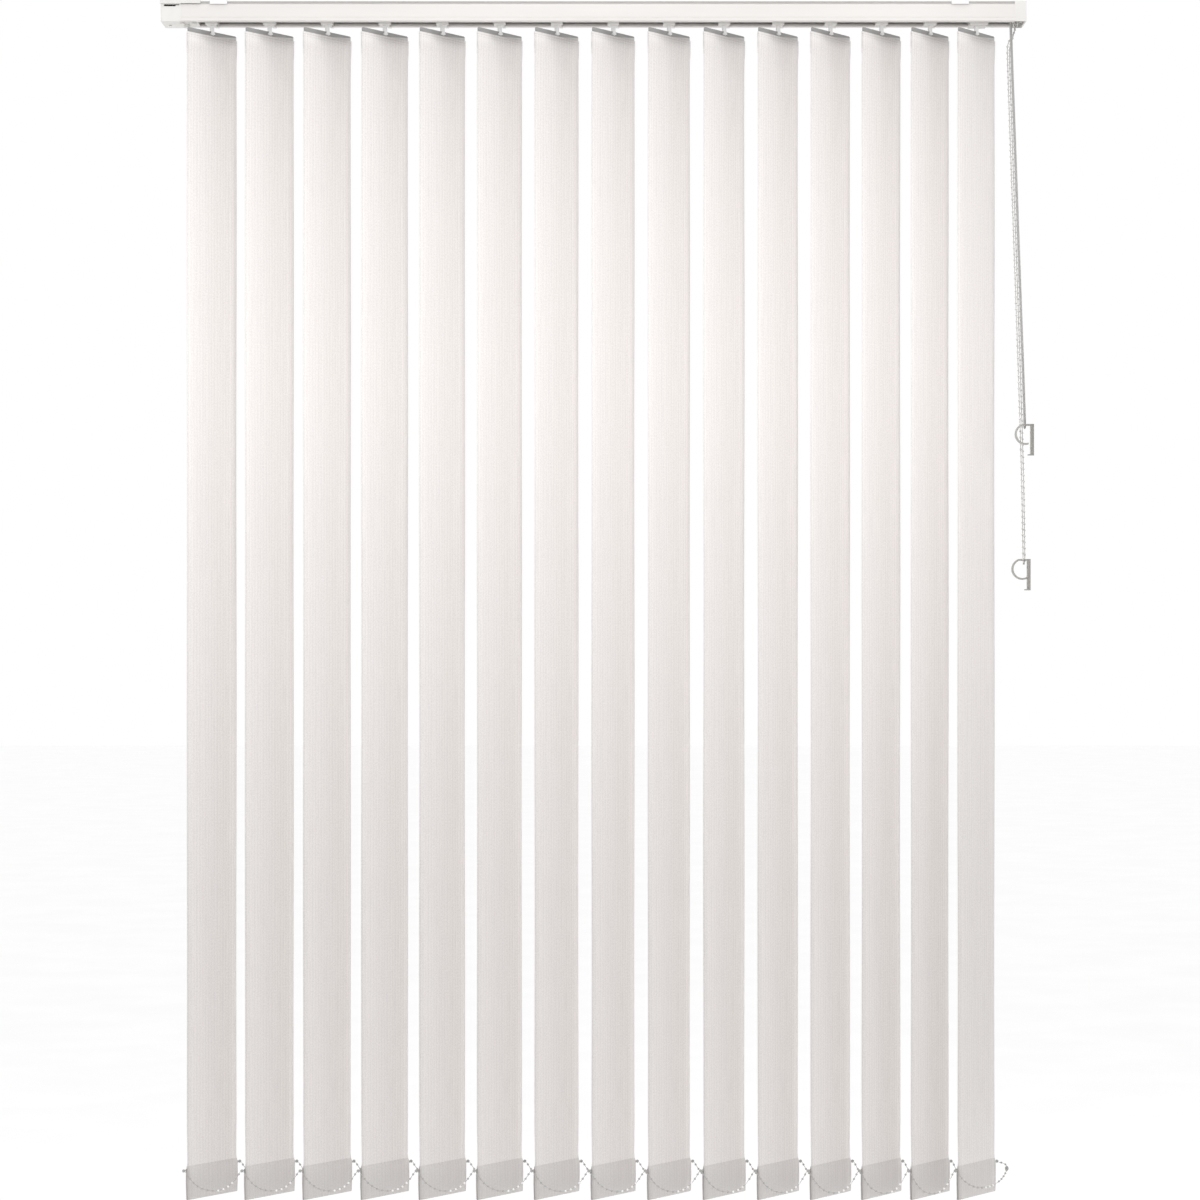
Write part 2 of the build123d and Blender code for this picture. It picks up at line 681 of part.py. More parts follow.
for number, x in enumerate(stem_x, start=1):
    with BuildPart() as cloth:
        with BuildSketch(slat_section(x).offset(-slat_width / 2)):
            with BuildLine():
                Polyline(
                    (0, pocket_bottom),
                    (top_inner, pocket_bottom),
                    (top_inner, fabric_top),
                    (top_outer, fabric_top),
                    (top_outer, pocket_bottom - 1.0),
                    (fabric / 2, pocket_bottom - 4.0),
                    (fabric / 2, hem_top),
                    (hem_outer, hem_top - 3.0),
                    (hem_outer, slat_bottom),
                    (0, slat_bottom),
                )
                mirror(about=Plane.YZ)
            make_face()
            with Locations((0, (weight_top + weight_bottom) / 2)):
                Rectangle(2 * hem_inner, weight_height + 0.4, mode=Mode.SUBTRACT)
        extrude(amount=slat_width)
    with BuildPart() as weight:
        with BuildSketch(slat_face(x).offset(-weight_thickness / 2)):
            with Locations((0, (weight_top + weight_bottom) / 2)):
                RectangleRounded(weight_width, weight_height, radius=3.0)
        extrude(amount=weight_thickness)
        # a stud with a round knob at each end, turned about one line through the plate
        for side in (-1, 1):
            root = side * (weight_width / 2 - stud_root)
            neck = side * (knob_reach - sqrt(knob_radius**2 - stud_radius**2))
            tip = side * (knob_reach + knob_radius)
            with BuildSketch(slat_face(x)):
                with BuildLine():
                    Polyline(
                        (tip, knob_z),
                        (root, knob_z),
                        (root, knob_z + stud_radius),
                        (neck, knob_z + stud_radius),
                    )
                    ThreePointArc(
                        (neck, knob_z + stud_radius),
                        (side * knob_reach, knob_z + knob_radius),
                        (tip, knob_z),
                    )
                make_face()
            revolve(axis=Axis((x, 0, knob_z), along))
    slat = Compound(label=f"slat_{number:02d}", children=[cloth.part, weight.part])
    export_step(slat, f"parts/slat_{number:02d}.step")


# ---------------------------------------------------------------- cords and chains
def bend_radii(points, most=None):
    """One radius for each corner: 0.45 of the shorter run over the tangent of half the turn."""
    radii = []
    for before, here, after in zip(points, points[1:], points[2:]):
        arriving = Vector(here) - Vector(before)
        leaving = Vector(after) - Vector(here)
        half_turn = radians(arriving.get_angle(leaving)) / 2
        radius = 0.45 * min(arriving.length, leaving.length) / tan(half_turn)
        radii.append(min(radius, most) if most else radius)
    return radii


def tube(points, diameter, name):
    """A round tube along straight runs joined by tangent arcs."""
    radii = bend_radii(points)
    with BuildPart() as run:
        with BuildLine() as route:
            FilletPolyline(*points, radius=radii)
        first_run = Vector(points[1]) - Vector(points[0])
        with BuildSketch(Plane(origin=points[0], z_dir=first_run)):
            Circle(diameter / 2)
        sweep()
    length = sum(edge.length for edge in route.edges())
    expected = pi * diameter**2 / 4 * length
    print(
        name,
        "length",
        round(length, 1),
        "volume ratio",
        round(run.part.volume / expected, 4),
        "radii",
        [round(r, 1) for r in radii],
    )
    return run.part


# the hem chains: one sagging span from stud to stud, each with the same length of chain
span_shape = ((0.09, 0.42), (0.27, 0.84), (0.5, 1.0), (0.73, 0.86), (0.9, 0.45))
stud_gap = knob_radius + 0.2
hang = 1.6  # the chain leaves its stud this far below the centre


def hem_span(left_stud, right_stud):
    """The points of one span of hem chain between two studs at one level."""
    pitch = right_stud.X - left_stud.X
    sag = pitch * sqrt(3 / 8 * (hem_chain_length / pitch - 1))
    start = left_stud + Vector(stud_gap, 0, -hang)
    width = pitch - 2 * stud_gap
    points = [start]
    points += [start + Vector(width * share, 0, -sag * fall) for share, fall in span_shape]
    points.append(start + Vector(width, 0, 0))
    return points


def end_loop():
    """The chain that ends at the last slat: from its front stud, round its edge, to its back."""
    last = Vector(stem_x[-1], 0, knob_z)
    front_stud = last - along * knob_reach
    back_stud = last + along * knob_reach
    return [
        front_stud + Vector(stud_gap, 0, -hang),
        front_stud + Vector(9.0, 0.3, -12.0),
        front_stud + Vector(27.0, 5.0, -24.0),
        last + Vector(14.0, -20.0, -26.0),
        last + Vector(32.0, -2.0, -21.0),
        last + Vector(43.0, 15.0, -12.0),
        last + Vector(46.5, 29.0, -5.0),
        last + Vector(42.0, 37.0, -2.0),
        back_stud + Vector(stud_gap, 0, -hang),
    ]


for chain_name, side in (("front_hem_chain", -1), ("back_hem_chain", 1)):
    studs = [Vector(x, 0, knob_z) + along * (side * knob_reach) for x in stem_x]
    spans = [
        tube(hem_span(left, right), hem_chain_diameter, f"{chain_name} {link}")
        for link, (left, right) in enumerate(zip(studs, studs[1:]), start=1)
    ]
    if side > 0:
        spans.append(tube(end_loop(), hem_chain_diameter, f"{chain_name} end loop"))
    hem_chain = Compound(label=chain_name, children=spans)
    export_step(hem_chain, f"parts/{chain_name}.step")

# the traverse cord: it leaves the leader, goes over the front sheave, down round the cord's
# hold-down and up over the rear sheave, then along the rail and round the idle pulley
cord_clip_x = assembly_right + 7.2  # the hold-down plate's inner face
chain_clip_x = assembly_right + 5.3
cord_mid_y = (front_cord_y + rear_cord_y) / 2
hug = 1 / cos(pi / 8)  # corner distance of a half octagon round a unit circle


def loop_corners(middle, radius, left_x, right_x):
    """Four corners of a half octagon that passes under a bar, from the room side to the back."""
    step = (right_x - left_x) / 3
    corners = []
    for corner in range(4):
        angle = pi + pi / 8 + corner * pi / 4
        y = middle.Y + radius * hug * cos(angle)
        z = middle.Z + radius * hug * sin(angle)
        corners.append((left_x + corner * step, y, z))
    return corners


bar_corner = sqrt((tensioner_width / 2) ** 2 + (tensioner_strip / 2) ** 2)
cord_loop_radius = bar_corner + cord_diameter / 2 + 0.5
chain_loop_radius = bar_corner + bead_diameter / 2 + 0.5
cord_loop_middle = Vector(0, cord_mid_y, -cord_loop_drop - tensioner_strip / 2)
chain_loop_middle = Vector(0, rod_y, -chain_loop_drop - tensioner_strip / 2)
cord_near_y = cord_mid_y - cord_loop_radius
cord_far_y = cord_mid_y + cord_loop_radius
cord_left_x = cord_clip_x - 9.3
cord_right_x = cord_clip_x - 6.3

cord_points = [
    (front_strand_x, front_cord_y, sheave_z),
    (front_strand_x, front_cord_y, sheave_z - 18.0),
    (front_strand_x + 1.2, front_cord_y, sheave_z - 60.0),
    (cord_left_x, cord_near_y, cord_loop_middle.Z + 12.0),
]
cord_points += loop_corners(cord_loop_middle, cord_loop_radius, cord_left_x, cord_right_x)
cord_points += [
    (cord_right_x, cord_far_y, cord_loop_middle.Z + 12.0),
    (rear_strand_x + 1.2, rear_cord_y, sheave_z - 60.0),
    (rear_strand_x, rear_cord_y, sheave_z - 18.0),
    (rear_strand_x, rear_cord_y, sheave_z),
]
hanging_cord = tube(cord_points, cord_diameter, "traverse cord, hanging")

leader_x = stem_x[-1]
cord_inner_end = leader_x + leader_front + 0.6
cord_outer_end = leader_x - leader_back - 0.6


def quarter_turn(sheave_x, cord_y):
    """The cord's quarter turn over a sheave, from level to straight down."""
    with BuildPart() as turn_part:
        with BuildSketch(Plane.XY.offset(sheave_z)):
            with Locations((sheave_x + sheave_radius, cord_y)):
                Circle(cord_diameter / 2)
        revolve(axis=Axis((sheave_x, cord_y, sheave_z), (0, 1, 0)), revolution_arc=-90)
    return turn_part.part


def level_strand(from_x, to_x, cord_y):
    """A straight strand of the cord along the rail."""
    with BuildPart() as strand:
        with BuildSketch(Plane.YZ.offset(from_x)):
            with Locations((cord_y, cord_z)):
                Circle(cord_diameter / 2)
        extrude(amount=to_x - from_x)
    return strand.part


with BuildPart() as cord_return:
    with BuildSketch(Plane.YZ.offset(idle_pulley_x)):
        with Locations((rear_cord_y, cord_z)):
            Circle(cord_diameter / 2)
    revolve(axis=Axis((idle_pulley_x, idle_pulley_y, 0), (0, 0, 1)), revolution_arc=180)

cord_pieces = [
    hanging_cord,
    quarter_turn(front_sheave_x, front_cord_y),
    quarter_turn(rear_sheave_x, rear_cord_y),
    level_strand(cord_inner_end, front_sheave_x, front_cord_y),
    level_strand(idle_pulley_x, cord_outer_end, front_cord_y),
    level_strand(idle_pulley_x, rear_sheave_x, rear_cord_y),
    cord_return.part,
]
traverse_cord = Compound(label="traverse_cord", children=cord_pieces)
export_step(traverse_cord, "parts/traverse_cord.step")

# the bead chain: over its wheel, down beside the cord and round its own hold-down
wheel_front_y = rod_y - wheel_pitch_radius
wheel_back_y = rod_y + wheel_pitch_radius
chain_near_y = rod_y - chain_loop_radius
chain_far_y = rod_y + chain_loop_radius
chain_left_x = chain_clip_x - 6.2
chain_right_x = chain_clip_x - 2.2

chain_points = [
    (wheel_x, wheel_front_y, gear_z),
    (wheel_x, wheel_front_y, gear_z - 10.0),
    (wheel_x - 1.8, wheel_front_y + 0.2, gear_z - 18.0),
    (wheel_x - 7.0, wheel_front_y + 0.4, gear_z - 26.5),
    (wheel_x - 11.4, wheel_front_y + 0.6, gear_z - 35.0),
    (wheel_x - 12.4, wheel_front_y + 0.8, gear_z - 47.0),
    (chain_left_x - 2.8, chain_near_y, -602.0),
    (chain_left_x, chain_near_y, chain_loop_middle.Z + 14.0),
]
chain_points += loop_corners(chain_loop_middle, chain_loop_radius, chain_left_x, chain_right_x)
chain_points += [
    (chain_right_x, chain_far_y, chain_loop_middle.Z + 14.0),
    (chain_right_x - 2.4, chain_far_y, -602.0),
    (wheel_x - 7.4, wheel_back_y - 0.8, gear_z - 47.0),
    (wheel_x - 6.6, wheel_back_y - 0.6, gear_z - 36.0),
    (wheel_x - 3.4, wheel_back_y - 0.4, gear_z - 26.5),
    (wheel_x - 0.6, wheel_back_y - 0.2, gear_z - 18.0),
    (wheel_x, wheel_back_y, gear_z - 10.0),
    (wheel_x, wheel_back_y, gear_z),
]
hanging_chain = tube(chain_points, bead_diameter, "bead chain, hanging")

with BuildPart() as chain_over_wheel:
    with BuildSketch(Plane.XY.offset(gear_z)):
        with Locations((wheel_x, wheel_back_y)):
            Circle(bead_diameter / 2)
    revolve(axis=Axis((wheel_x, rod_y, gear_z), (1, 0, 0)), revolution_arc=180)

bead_chain = Compound(label="bead_chain", children=[hanging_chain, chain_over_wheel.part])
export_step(bead_chain, "parts/bead_chain.step")


# ---------------------------------------------------------------- hold-down clips
def hold_down(plate_x, top_z, middle_y, closed):
    """A P-shaped clip: a wall plate with a ring at its top that the loop runs through."""
    ring_left = plate_x - hold_down_ring_width
    ring_bottom = top_z - hold_down_ring_height
    bar_left = plate_x - 11.5
    t = tensioner_strip
    with BuildPart() as clip:
        with BuildSketch(Plane.XZ.offset(-middle_y)):
            with BuildLine():
                Line((plate_x + 0.5, top_z), (bar_left, top_z))
                ThreePointArc(
                    (bar_left, top_z),
                    (ring_left, top_z - 0.42 * hold_down_ring_height),
                    (plate_x + 0.5, ring_bottom),
                )
                Line((plate_x + 0.5, ring_bottom), (plate_x + 0.5, top_z))
            make_face()
            with BuildLine():
                Line((plate_x, top_z - t), (bar_left + 0.4, top_z - t))
                ThreePointArc(
                    (bar_left + 0.4, top_z - t),
                    (ring_left + t, top_z - 0.44 * hold_down_ring_height),
                    (plate_x, ring_bottom + t),
                )
                Line((plate_x, ring_bottom + t), (plate_x, top_z - t))
            make_face(mode=Mode.SUBTRACT)
            with Locations((plate_x + hold_down_plate / 2, top_z - hold_down_length / 2)):
                Rectangle(hold_down_plate, hold_down_length)
            with Locations((plate_x - 1.5, top_z - hold_down_length + 0.8)):
                Rectangle(4.0, 1.6)
        extrude(amount=tensioner_width / 2, both=True)
        if not closed:
            with BuildSketch(Plane.XZ.offset(-middle_y)):
                with Locations((plate_x - 1.4, ring_bottom + 1.5)):
                    Rectangle(2.8, 6.0)
            extrude(amount=tensioner_width, both=True, mode=Mode.SUBTRACT)
        screw_z = top_z - hold_down_length / 2 - 1.0
        with BuildSketch(Plane.YZ.offset(plate_x - 1.0)):
            with Locations(
                (middle_y, screw_z - hold_down_screws / 2),
                (middle_y, screw_z + hold_down_screws / 2),
            ):
                Circle(hold_down_screw_radius)
        extrude(amount=hold_down_plate + 2.0, mode=Mode.SUBTRACT)
    return clip.part


cord_hold_down = hold_down(cord_clip_x, -cord_loop_drop, cord_mid_y, closed=False)
cord_hold_down.label = "cord_hold_down"
export_step(cord_hold_down, "parts/cord_hold_down.step")

chain_hold_down = hold_down(chain_clip_x, -chain_loop_drop, rod_y, closed=True)
chain_hold_down.label = "chain_hold_down"
export_step(chain_hold_down, "parts/chain_hold_down.step")

# ---------------------------------------------------------------- what the record quotes
stack_pitch = carrier_length + 2 * stack_gap
leader_pitch = tail_reach + leader_back + stack_gap
stacked_x = [stem_x[0] + stack_pitch * k for k in range(slat_count - 1)]
stacked_x.append(stacked_x[-1] + leader_pitch)
print("stems at", [round(x, 3) for x in stem_x])
print("stacked at", [round(x, 3) for x in stacked_x])
print("rod", rod_y, gear_z, "idle pulley", idle_pulley_x, idle_pulley_y)
print("sheaves", front_sheave_x, front_cord_y, rear_sheave_x, rear_cord_y, sheave_z)
print("front stud", round(stem_x[0] - knob_reach * cos(turn), 3), round(-knob_reach * sin(turn), 3))
print("slat turned", degrees(turn), "hold-down screws at", cord_clip_x + hold_down_plate)
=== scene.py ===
"""A vertical blind: fabric slats under a white head rail, with a cord and a bead chain.

Metres, +X along the rail to the control end, -Y towards the room, +Z up. The origin is on the
ceiling, midway between the two ceiling clips.
"""
import json
from math import asin, ceil, cos, pi, radians, sin, sqrt

import bmesh
import bpy
from mathutils import Matrix, Vector


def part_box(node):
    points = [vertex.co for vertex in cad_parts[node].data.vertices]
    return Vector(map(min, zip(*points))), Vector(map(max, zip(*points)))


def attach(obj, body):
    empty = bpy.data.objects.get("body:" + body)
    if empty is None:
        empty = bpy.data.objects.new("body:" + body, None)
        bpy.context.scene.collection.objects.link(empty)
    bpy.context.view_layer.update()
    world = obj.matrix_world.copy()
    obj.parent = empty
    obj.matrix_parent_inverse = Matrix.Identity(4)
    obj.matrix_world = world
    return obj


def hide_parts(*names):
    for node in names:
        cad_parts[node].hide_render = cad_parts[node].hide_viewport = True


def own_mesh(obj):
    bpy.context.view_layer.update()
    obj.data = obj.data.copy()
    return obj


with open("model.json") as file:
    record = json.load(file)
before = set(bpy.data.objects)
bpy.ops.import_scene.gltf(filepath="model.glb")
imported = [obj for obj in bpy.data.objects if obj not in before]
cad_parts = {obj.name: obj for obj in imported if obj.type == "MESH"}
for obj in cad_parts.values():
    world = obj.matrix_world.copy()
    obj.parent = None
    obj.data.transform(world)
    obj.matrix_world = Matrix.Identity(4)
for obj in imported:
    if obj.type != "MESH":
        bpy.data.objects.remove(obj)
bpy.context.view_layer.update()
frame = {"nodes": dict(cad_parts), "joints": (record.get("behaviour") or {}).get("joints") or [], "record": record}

MM = 0.001
nodes = frame["nodes"]
joints = {joint["name"]: joint for joint in frame["joints"]}
couplings = {c["joint"]: c for c in frame["record"]["behaviour"]["couplings"]}

# ---------------------------------------------------------------- sizes and places
SLAT_COUNT = 15
SLAT_NUMBERS = range(1, SLAT_COUNT + 1)
SLAT_TURN = radians(48.5)
SLAT_WIDTH = 89 * MM
CLOTH = 0.5 * MM
HEM_HEIGHT = 46 * MM
HEM_SPREAD = 0.9 * MM  # the hem pocket stands out this far past each edge of the slat
WAIST = 0.7 * MM  # and the cloth above it pulls in this far

RAIL_LOW, RAIL_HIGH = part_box("head_rail")
CLOTH_LOW, CLOTH_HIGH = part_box("slat_01")
HANGER_LOW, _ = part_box("hanger_01")
STEM_X = [(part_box(f"hanger_{n:02d}")[0].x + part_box(f"hanger_{n:02d}")[1].x) / 2 for n in SLAT_NUMBERS]
SLAT_BOTTOM = CLOTH_LOW.z
SLAT_TOP = CLOTH_HIGH.z
PLATE_BOTTOM = HANGER_LOW.z
HEM_TOP = SLAT_BOTTOM + HEM_HEIGHT

PLATE_HALF = 0.5 * MM
WEIGHT_THICKNESS = 2.2 * MM
WEIGHT_HEIGHT = 42 * MM
WEIGHT_WIDTH = 84 * MM
WEIGHT_BOTTOM = SLAT_BOTTOM + 0.6 * MM
STUD_RADIUS = 1.0 * MM
KNOB_RADIUS = 2.2 * MM
KNOB_REACH = SLAT_WIDTH / 2 + 6 * MM
KNOB_Z = SLAT_BOTTOM + 40.6 * MM

HEM_CHAIN_LENGTH = 103 * MM
HEM_BEAD = 3.0 * MM
HEM_THREAD = 0.8 * MM
HEM_BEAD_PITCH = 7.3 * MM
# painted highlight: in each hem span these beads are coloured near white where light catches them, and the others
# a darker copy as painted shade
HEM_PAINTED_LIT_BEADS = (7, 8, 9, 10)  # counted from the left stud
CONTROL_BEAD = 3.2 * MM
CONTROL_BEAD_PITCH = 8.4 * MM
CORD = 2.0 * MM

ALONG = Vector((cos(SLAT_TURN), sin(SLAT_TURN), 0))


# ---------------------------------------------------------------- shader maths
class Field:
    """A socket's value, so that shader maths is written as an expression."""

    def __init__(self, finish, socket):
        self.finish = finish
        self.socket = socket

    def _maths(self, operation, first, second):
        return self.finish.add("Math", {"operation": operation}, {0: first, 1: second})[0]

    def __add__(self, other):
        return self._maths("ADD", self, other)

    def __radd__(self, other):
        return self._maths("ADD", other, self)

    def __sub__(self, other):
        return self._maths("SUBTRACT", self, other)

    def __rsub__(self, other):
        return self._maths("SUBTRACT", other, self)

    def __mul__(self, other):
        return self._maths("MULTIPLY", self, other)

    def __rmul__(self, other):
        return self._maths("MULTIPLY", other, self)

    def wave(self):
        return self._maths("SINE", self, 0.0)

    def step(self, low, high):
        """0 below low, 1 above high and smooth between them."""
        settings = {"interpolation_type": "SMOOTHSTEP", "clamp": True}
        values = {"Value": self, "From Min": low, "From Max": high}
        return self.finish.add("MapRange", settings, values)[0]

    def band(self, low, high, edge):
        """1 between low and high, falling to 0 over edge."""
        return self.step(low - edge, low) * (1 - self.step(high, high + edge))


class Added:
    """A node in a finish. Its outputs are read by number or by name."""

    def __init__(self, finish, node):
        self.finish = finish
        self.node = node

    def __getitem__(self, name):
        return Field(self.finish, self.node.outputs[name])


class Finish:
    """One material, made of nodes on a Principled surface."""

    def __init__(self, name):
        self.material = bpy.data.materials.new(name)
        self.material.use_nodes = True
        self.tree = self.material.node_tree
        self.tree.nodes.clear()
        self.output = self.tree.nodes.new("ShaderNodeOutputMaterial")

    def add(self, kind, settings=None, values=None):
        """Adds a node: its settings first, then what each of its sockets holds or is fed."""
        node = self.tree.nodes.new("ShaderNode" + kind)
        for name, setting in (settings or {}).items():
            if name == "stops":
                for stop, (place, colour) in zip(self._stops(node, len(setting)), setting):
                    stop.position = place
                    stop.color = colour
            else:
                setattr(node, name, setting)
        for name, value in (values or {}).items():
            if isinstance(value, Field):
                self.tree.links.new(value.socket, node.inputs[name])
            else:
                node.inputs[name].default_value = value
        return Added(self, node)

    @staticmethod
    def _stops(node, count):
        elements = node.color_ramp.elements
        while len(elements) < count:
            elements.new(0.5)
        return elements

    def place(self, source, scale):
        """Object or UV coordinates, stretched by scale."""
        at = self.add("TexCoord")[source]
        return self.add("Mapping", None, {"Vector": at, "Scale": scale})[0]

    def noise(self, place, size=1.0, detail=3.0, roughness=0.5):
        values = {"Vector": place, "Scale": size, "Detail": detail, "Roughness": roughness}
        return self.add("TexNoise", None, values)[0]

    def blend(self, share, first, second):
        """One colour at share 0 and another at share 1."""
        settings = {"data_type": "RGBA", "clamp_factor": True}
        return self.add("Mix", settings, {0: share, 6: first, 7: second})[2]

    def bump(self, height, distance, strength=1.0, under=None):
        values = {"Height": height, "Distance": distance, "Strength": strength}
        if under is not None:
            values["Normal"] = under
        return self.add("Bump", None, values)[0]

    def surface(self, **values):
        named = {name.replace("_", " "): value for name, value in values.items()}
        shader = self.add("BsdfPrincipled", None, named)
        self.tree.links.new(shader[0].socket, self.output.inputs["Surface"])
        return self.material


def grey(level, warmth=0.0):
    """A near-neutral colour; warmth above 0 leans to cream."""
    return (level * (1 + warmth), level, level * (1 - 1.6 * warmth), 1.0)


# ---------------------------------------------------------------- finishes
def rail_enamel():
    """Powder coat: warm white satin with a fine orange peel, and painted shade greying the lip along its top."""
    finish = Finish("rail_enamel")
    peel = finish.noise(finish.place("Object", (1, 1, 1)), 1400, 2)
    drift = finish.noise(finish.place("Object", (3, 20, 20)), 1.0, 3)
    height = finish.add("SeparateXYZ", None, {0: finish.add("TexCoord")["Object"]})["Z"]
    # painted shade: the lip along the rail's top is greyed in the colour, standing in for the shade it falls in
    painted_ledge_shade = (height + 0.0004 * drift).step(RAIL_HIGH.z - 0.0042, RAIL_HIGH.z - 0.0037)
    face = finish.blend(drift.step(0.35, 0.7), (0.715, 0.690, 0.668, 1), (0.755, 0.729, 0.707, 1))
    colour = finish.blend(painted_ledge_shade * 0.47, face, (0.36, 0.35, 0.34, 1))
    return finish.surface(
        Base_Color=colour,
        Roughness=0.36 + 0.12 * peel,
        Normal=finish.bump(peel, 0.00004, 0.35),
    )


def moulded(name, level, warmth, gloss, grain=1800):
    """Injection-moulded plastic with a faint sparkle and slow flow marks."""
    finish = Finish(name)
    grains = finish.noise(finish.place("Object", (1, 1, 1)), grain, 2)
    flow = finish.noise(finish.place("Object", (60, 60, 22)), 1.0, 3)
    colour = finish.blend(flow.step(0.3, 0.7), grey(level * 0.95, warmth), grey(level, warmth))
    return finish.surface(
        Base_Color=colour,
        Roughness=gloss + 0.14 * grains,
        Normal=finish.bump(grains, 0.00003, 0.3),
    )


def hanger_frost():
    """Frosted grey plastic, lighter towards one end where the light enters its edge."""
    finish = Finish("hanger_frost")
    frost = finish.noise(finish.place("UV", (1, 1, 1)), 2600, 2)
    cloud = finish.noise(finish.place("UV", (26, 90, 1)), 1.0, 2)
    frosted = finish.blend(cloud.step(0.3, 0.75), grey(0.27, 0.006), grey(0.35, 0.008))
    uv = finish.add("SeparateXYZ", None, {0: finish.add("TexCoord")["UV"]})
    wedge = (0.11 * uv["X"] - uv["Y"]).step(0.0004 - SLAT_TOP, 0.0010 - SLAT_TOP)
    colour = finish.blend(wedge * 0.85, frosted, grey(0.62, 0.006))
    return finish.surface(
        Base_Color=colour,
        Roughness=0.42 + 0.2 * frost,
        Normal=finish.bump(frost, 0.00003, 0.4),
    )


def slat_cloth():
    """A stiffened plain weave with upright ribs, slubs and weld lines, and painted shade on the hem: darker where
    two layers of cloth wrap the weight, and darker still towards its bottom.
    """
    finish = Finish("slat_cloth")
    at = finish.add("TexCoord")["UV"]
    uv = finish.add("SeparateXYZ", None, {0: at})
    across, down = uv["X"], uv["Y"]
    warp = (across * (2 * pi / 0.0017)).wave()
    weft = (down * (2 * pi / 0.0013)).wave()
    weave = warp * weft
    stripes = (across * (2 * pi / 0.0052)).wave()
    slub = finish.noise(finish.add("Mapping", None, {0: at, "Scale": (520, 26, 1)})[0], 1.0, 3)
    streak = finish.noise(finish.add("Mapping", None, {0: at, "Scale": (260, 3.5, 1)})[0], 1.0, 2)
    fleck = finish.noise(finish.add("Mapping", None, {0: at, "Scale": (640, 430, 1)})[0], 1.0, 2)
    tone = 0.2 * slub + 0.12 * streak + 0.46 * fleck + 0.09 * weave + 0.03 * stripes + 0.11
    plain = finish.blend(tone.step(0.38, 0.62), (0.705, 0.675, 0.66, 1), (0.83, 0.797, 0.778, 1))
    seam = finish.noise(finish.add("Mapping", None, {0: at, "Scale": (160, 0, 1)})[0], 1.0, 2)
    hem_line = SLAT_TOP - HEM_TOP
    # painted shade: the hem is darkened in the colour, standing in for the light from behind that two layers of
    # cloth and the weight would hold back; fallen darkens it more towards the bottom
    painted_hem_shade = (down + 0.0016 * seam).step(hem_line, hem_line + 0.0012)
    fallen = (down - hem_line).step(0.0, HEM_HEIGHT)
    welded = down.band(0.0028, 0.0034, 0.0003) + 0.6 * down.band(0.0062, 0.0066, 0.0004)
    pocket = down.band(SLAT_TOP - PLATE_BOTTOM, SLAT_TOP - PLATE_BOTTOM + 0.001, 0.0006)
    # the painted shade of the hem, plus the darker weld lines and the faint line where the plate ends
    shade = painted_hem_shade * (0.26 + 0.14 * fallen) + welded * 0.22 + pocket * 0.03
    shown = finish.blend(shade, plain, (0.31, 0.295, 0.285, 1))
    return finish.surface(
        Base_Color=shown,
        Roughness=0.82 + 0.1 * fleck,
        Sheen_Weight=0.15,
        Sheen_Roughness=0.5,
        Specular_IOR_Level=0.25,
        Normal=finish.bump(weave + 1.2 * slub, 0.00006, 0.6),
    )


def braided(name, level):
    """A braided cord: two sets of strands that cross, on the cord's own length and girth."""
    finish = Finish(name)
    uv = finish.add("SeparateXYZ", None, {0: finish.add("TexCoord")["UV"]})
    round_it, down = uv["Y"], uv["X"]
    right = (round_it * (8 * pi) + down * (2 * pi / 0.0016)).wave()
    left = (round_it * (8 * pi) - down * (2 * pi / 0.0016)).wave()
    strands = right * left
    fuzz = finish.noise(finish.place("Object", (1, 1, 1)), 2200, 2)
    colour = finish.blend((strands * 0.5 + 0.5 * fuzz).step(0.0, 0.6), grey(level * 0.8, 0.01), grey(level, 0.01))
    return finish.surface(
        Base_Color=colour,
        Roughness=0.75 + 0.15 * fuzz,
        Normal=finish.bump(strands, 0.00012, 0.8),
    )


def drawn_metal():
    """Extruded aluminium with fine lines along its length."""
    finish = Finish("drawn_metal")
    lines = finish.noise(finish.place("Object", (6, 2400, 2400)), 1.0, 2)
    return finish.surface(
        Base_Color=finish.blend(lines.step(0.3, 0.7), grey(0.55), grey(0.68)),
        Metallic=1.0,
        Roughness=0.32 + 0.18 * lines,
        Normal=finish.bump(lines, 0.00003, 0.3),
    )


def studio_floor():
    finish = Finish("studio_floor")
    mottle = finish.noise(finish.place("Object", (1, 1, 1)), 3, 3)
    return finish.surface(
        Base_Color=finish.blend(mottle.step(0.3, 0.7), grey(0.97), grey(0.99)),
        Roughness=0.9 + 0.05 * mottle,
    )


RAIL = rail_enamel()
CLIP = moulded("clip_paint", 0.84, 0.002, 0.3)
CAP = moulded("cap_plastic", 0.72, 0.02, 0.3)
CARRIER = moulded("carrier_plastic", 0.70, 0.02, 0.42)
STEM = moulded("stem_plastic", 0.82, 0.004, 0.25)
HANGER = hanger_frost()
CLOTH_FINISH = slat_cloth()
WEIGHT = moulded("weight_plastic", 0.40, 0.02, 0.4)
BEAD = moulded("bead_plastic", 0.62, 0.02, 0.16)
# lit and shaded copies of one bead plastic: painted highlight and painted shade
PAINTED_LIT_BEAD = moulded("painted_lit_bead_plastic", 0.93, 0.002, 0.12)
PAINTED_SHADED_BEAD = moulded("painted_shaded_bead_plastic", 0.44, 0.02, 0.3)
THREAD = moulded("thread_plastic", 0.44, 0.02, 0.4)
BRAID = braided("cord_braid", 0.48)
HOLD_DOWN = moulded("hold_down_plastic", 0.38, 0.035, 0.2)
WHEEL = moulded("wheel_plastic", 0.66, 0.02, 0.35)
METAL = drawn_metal()

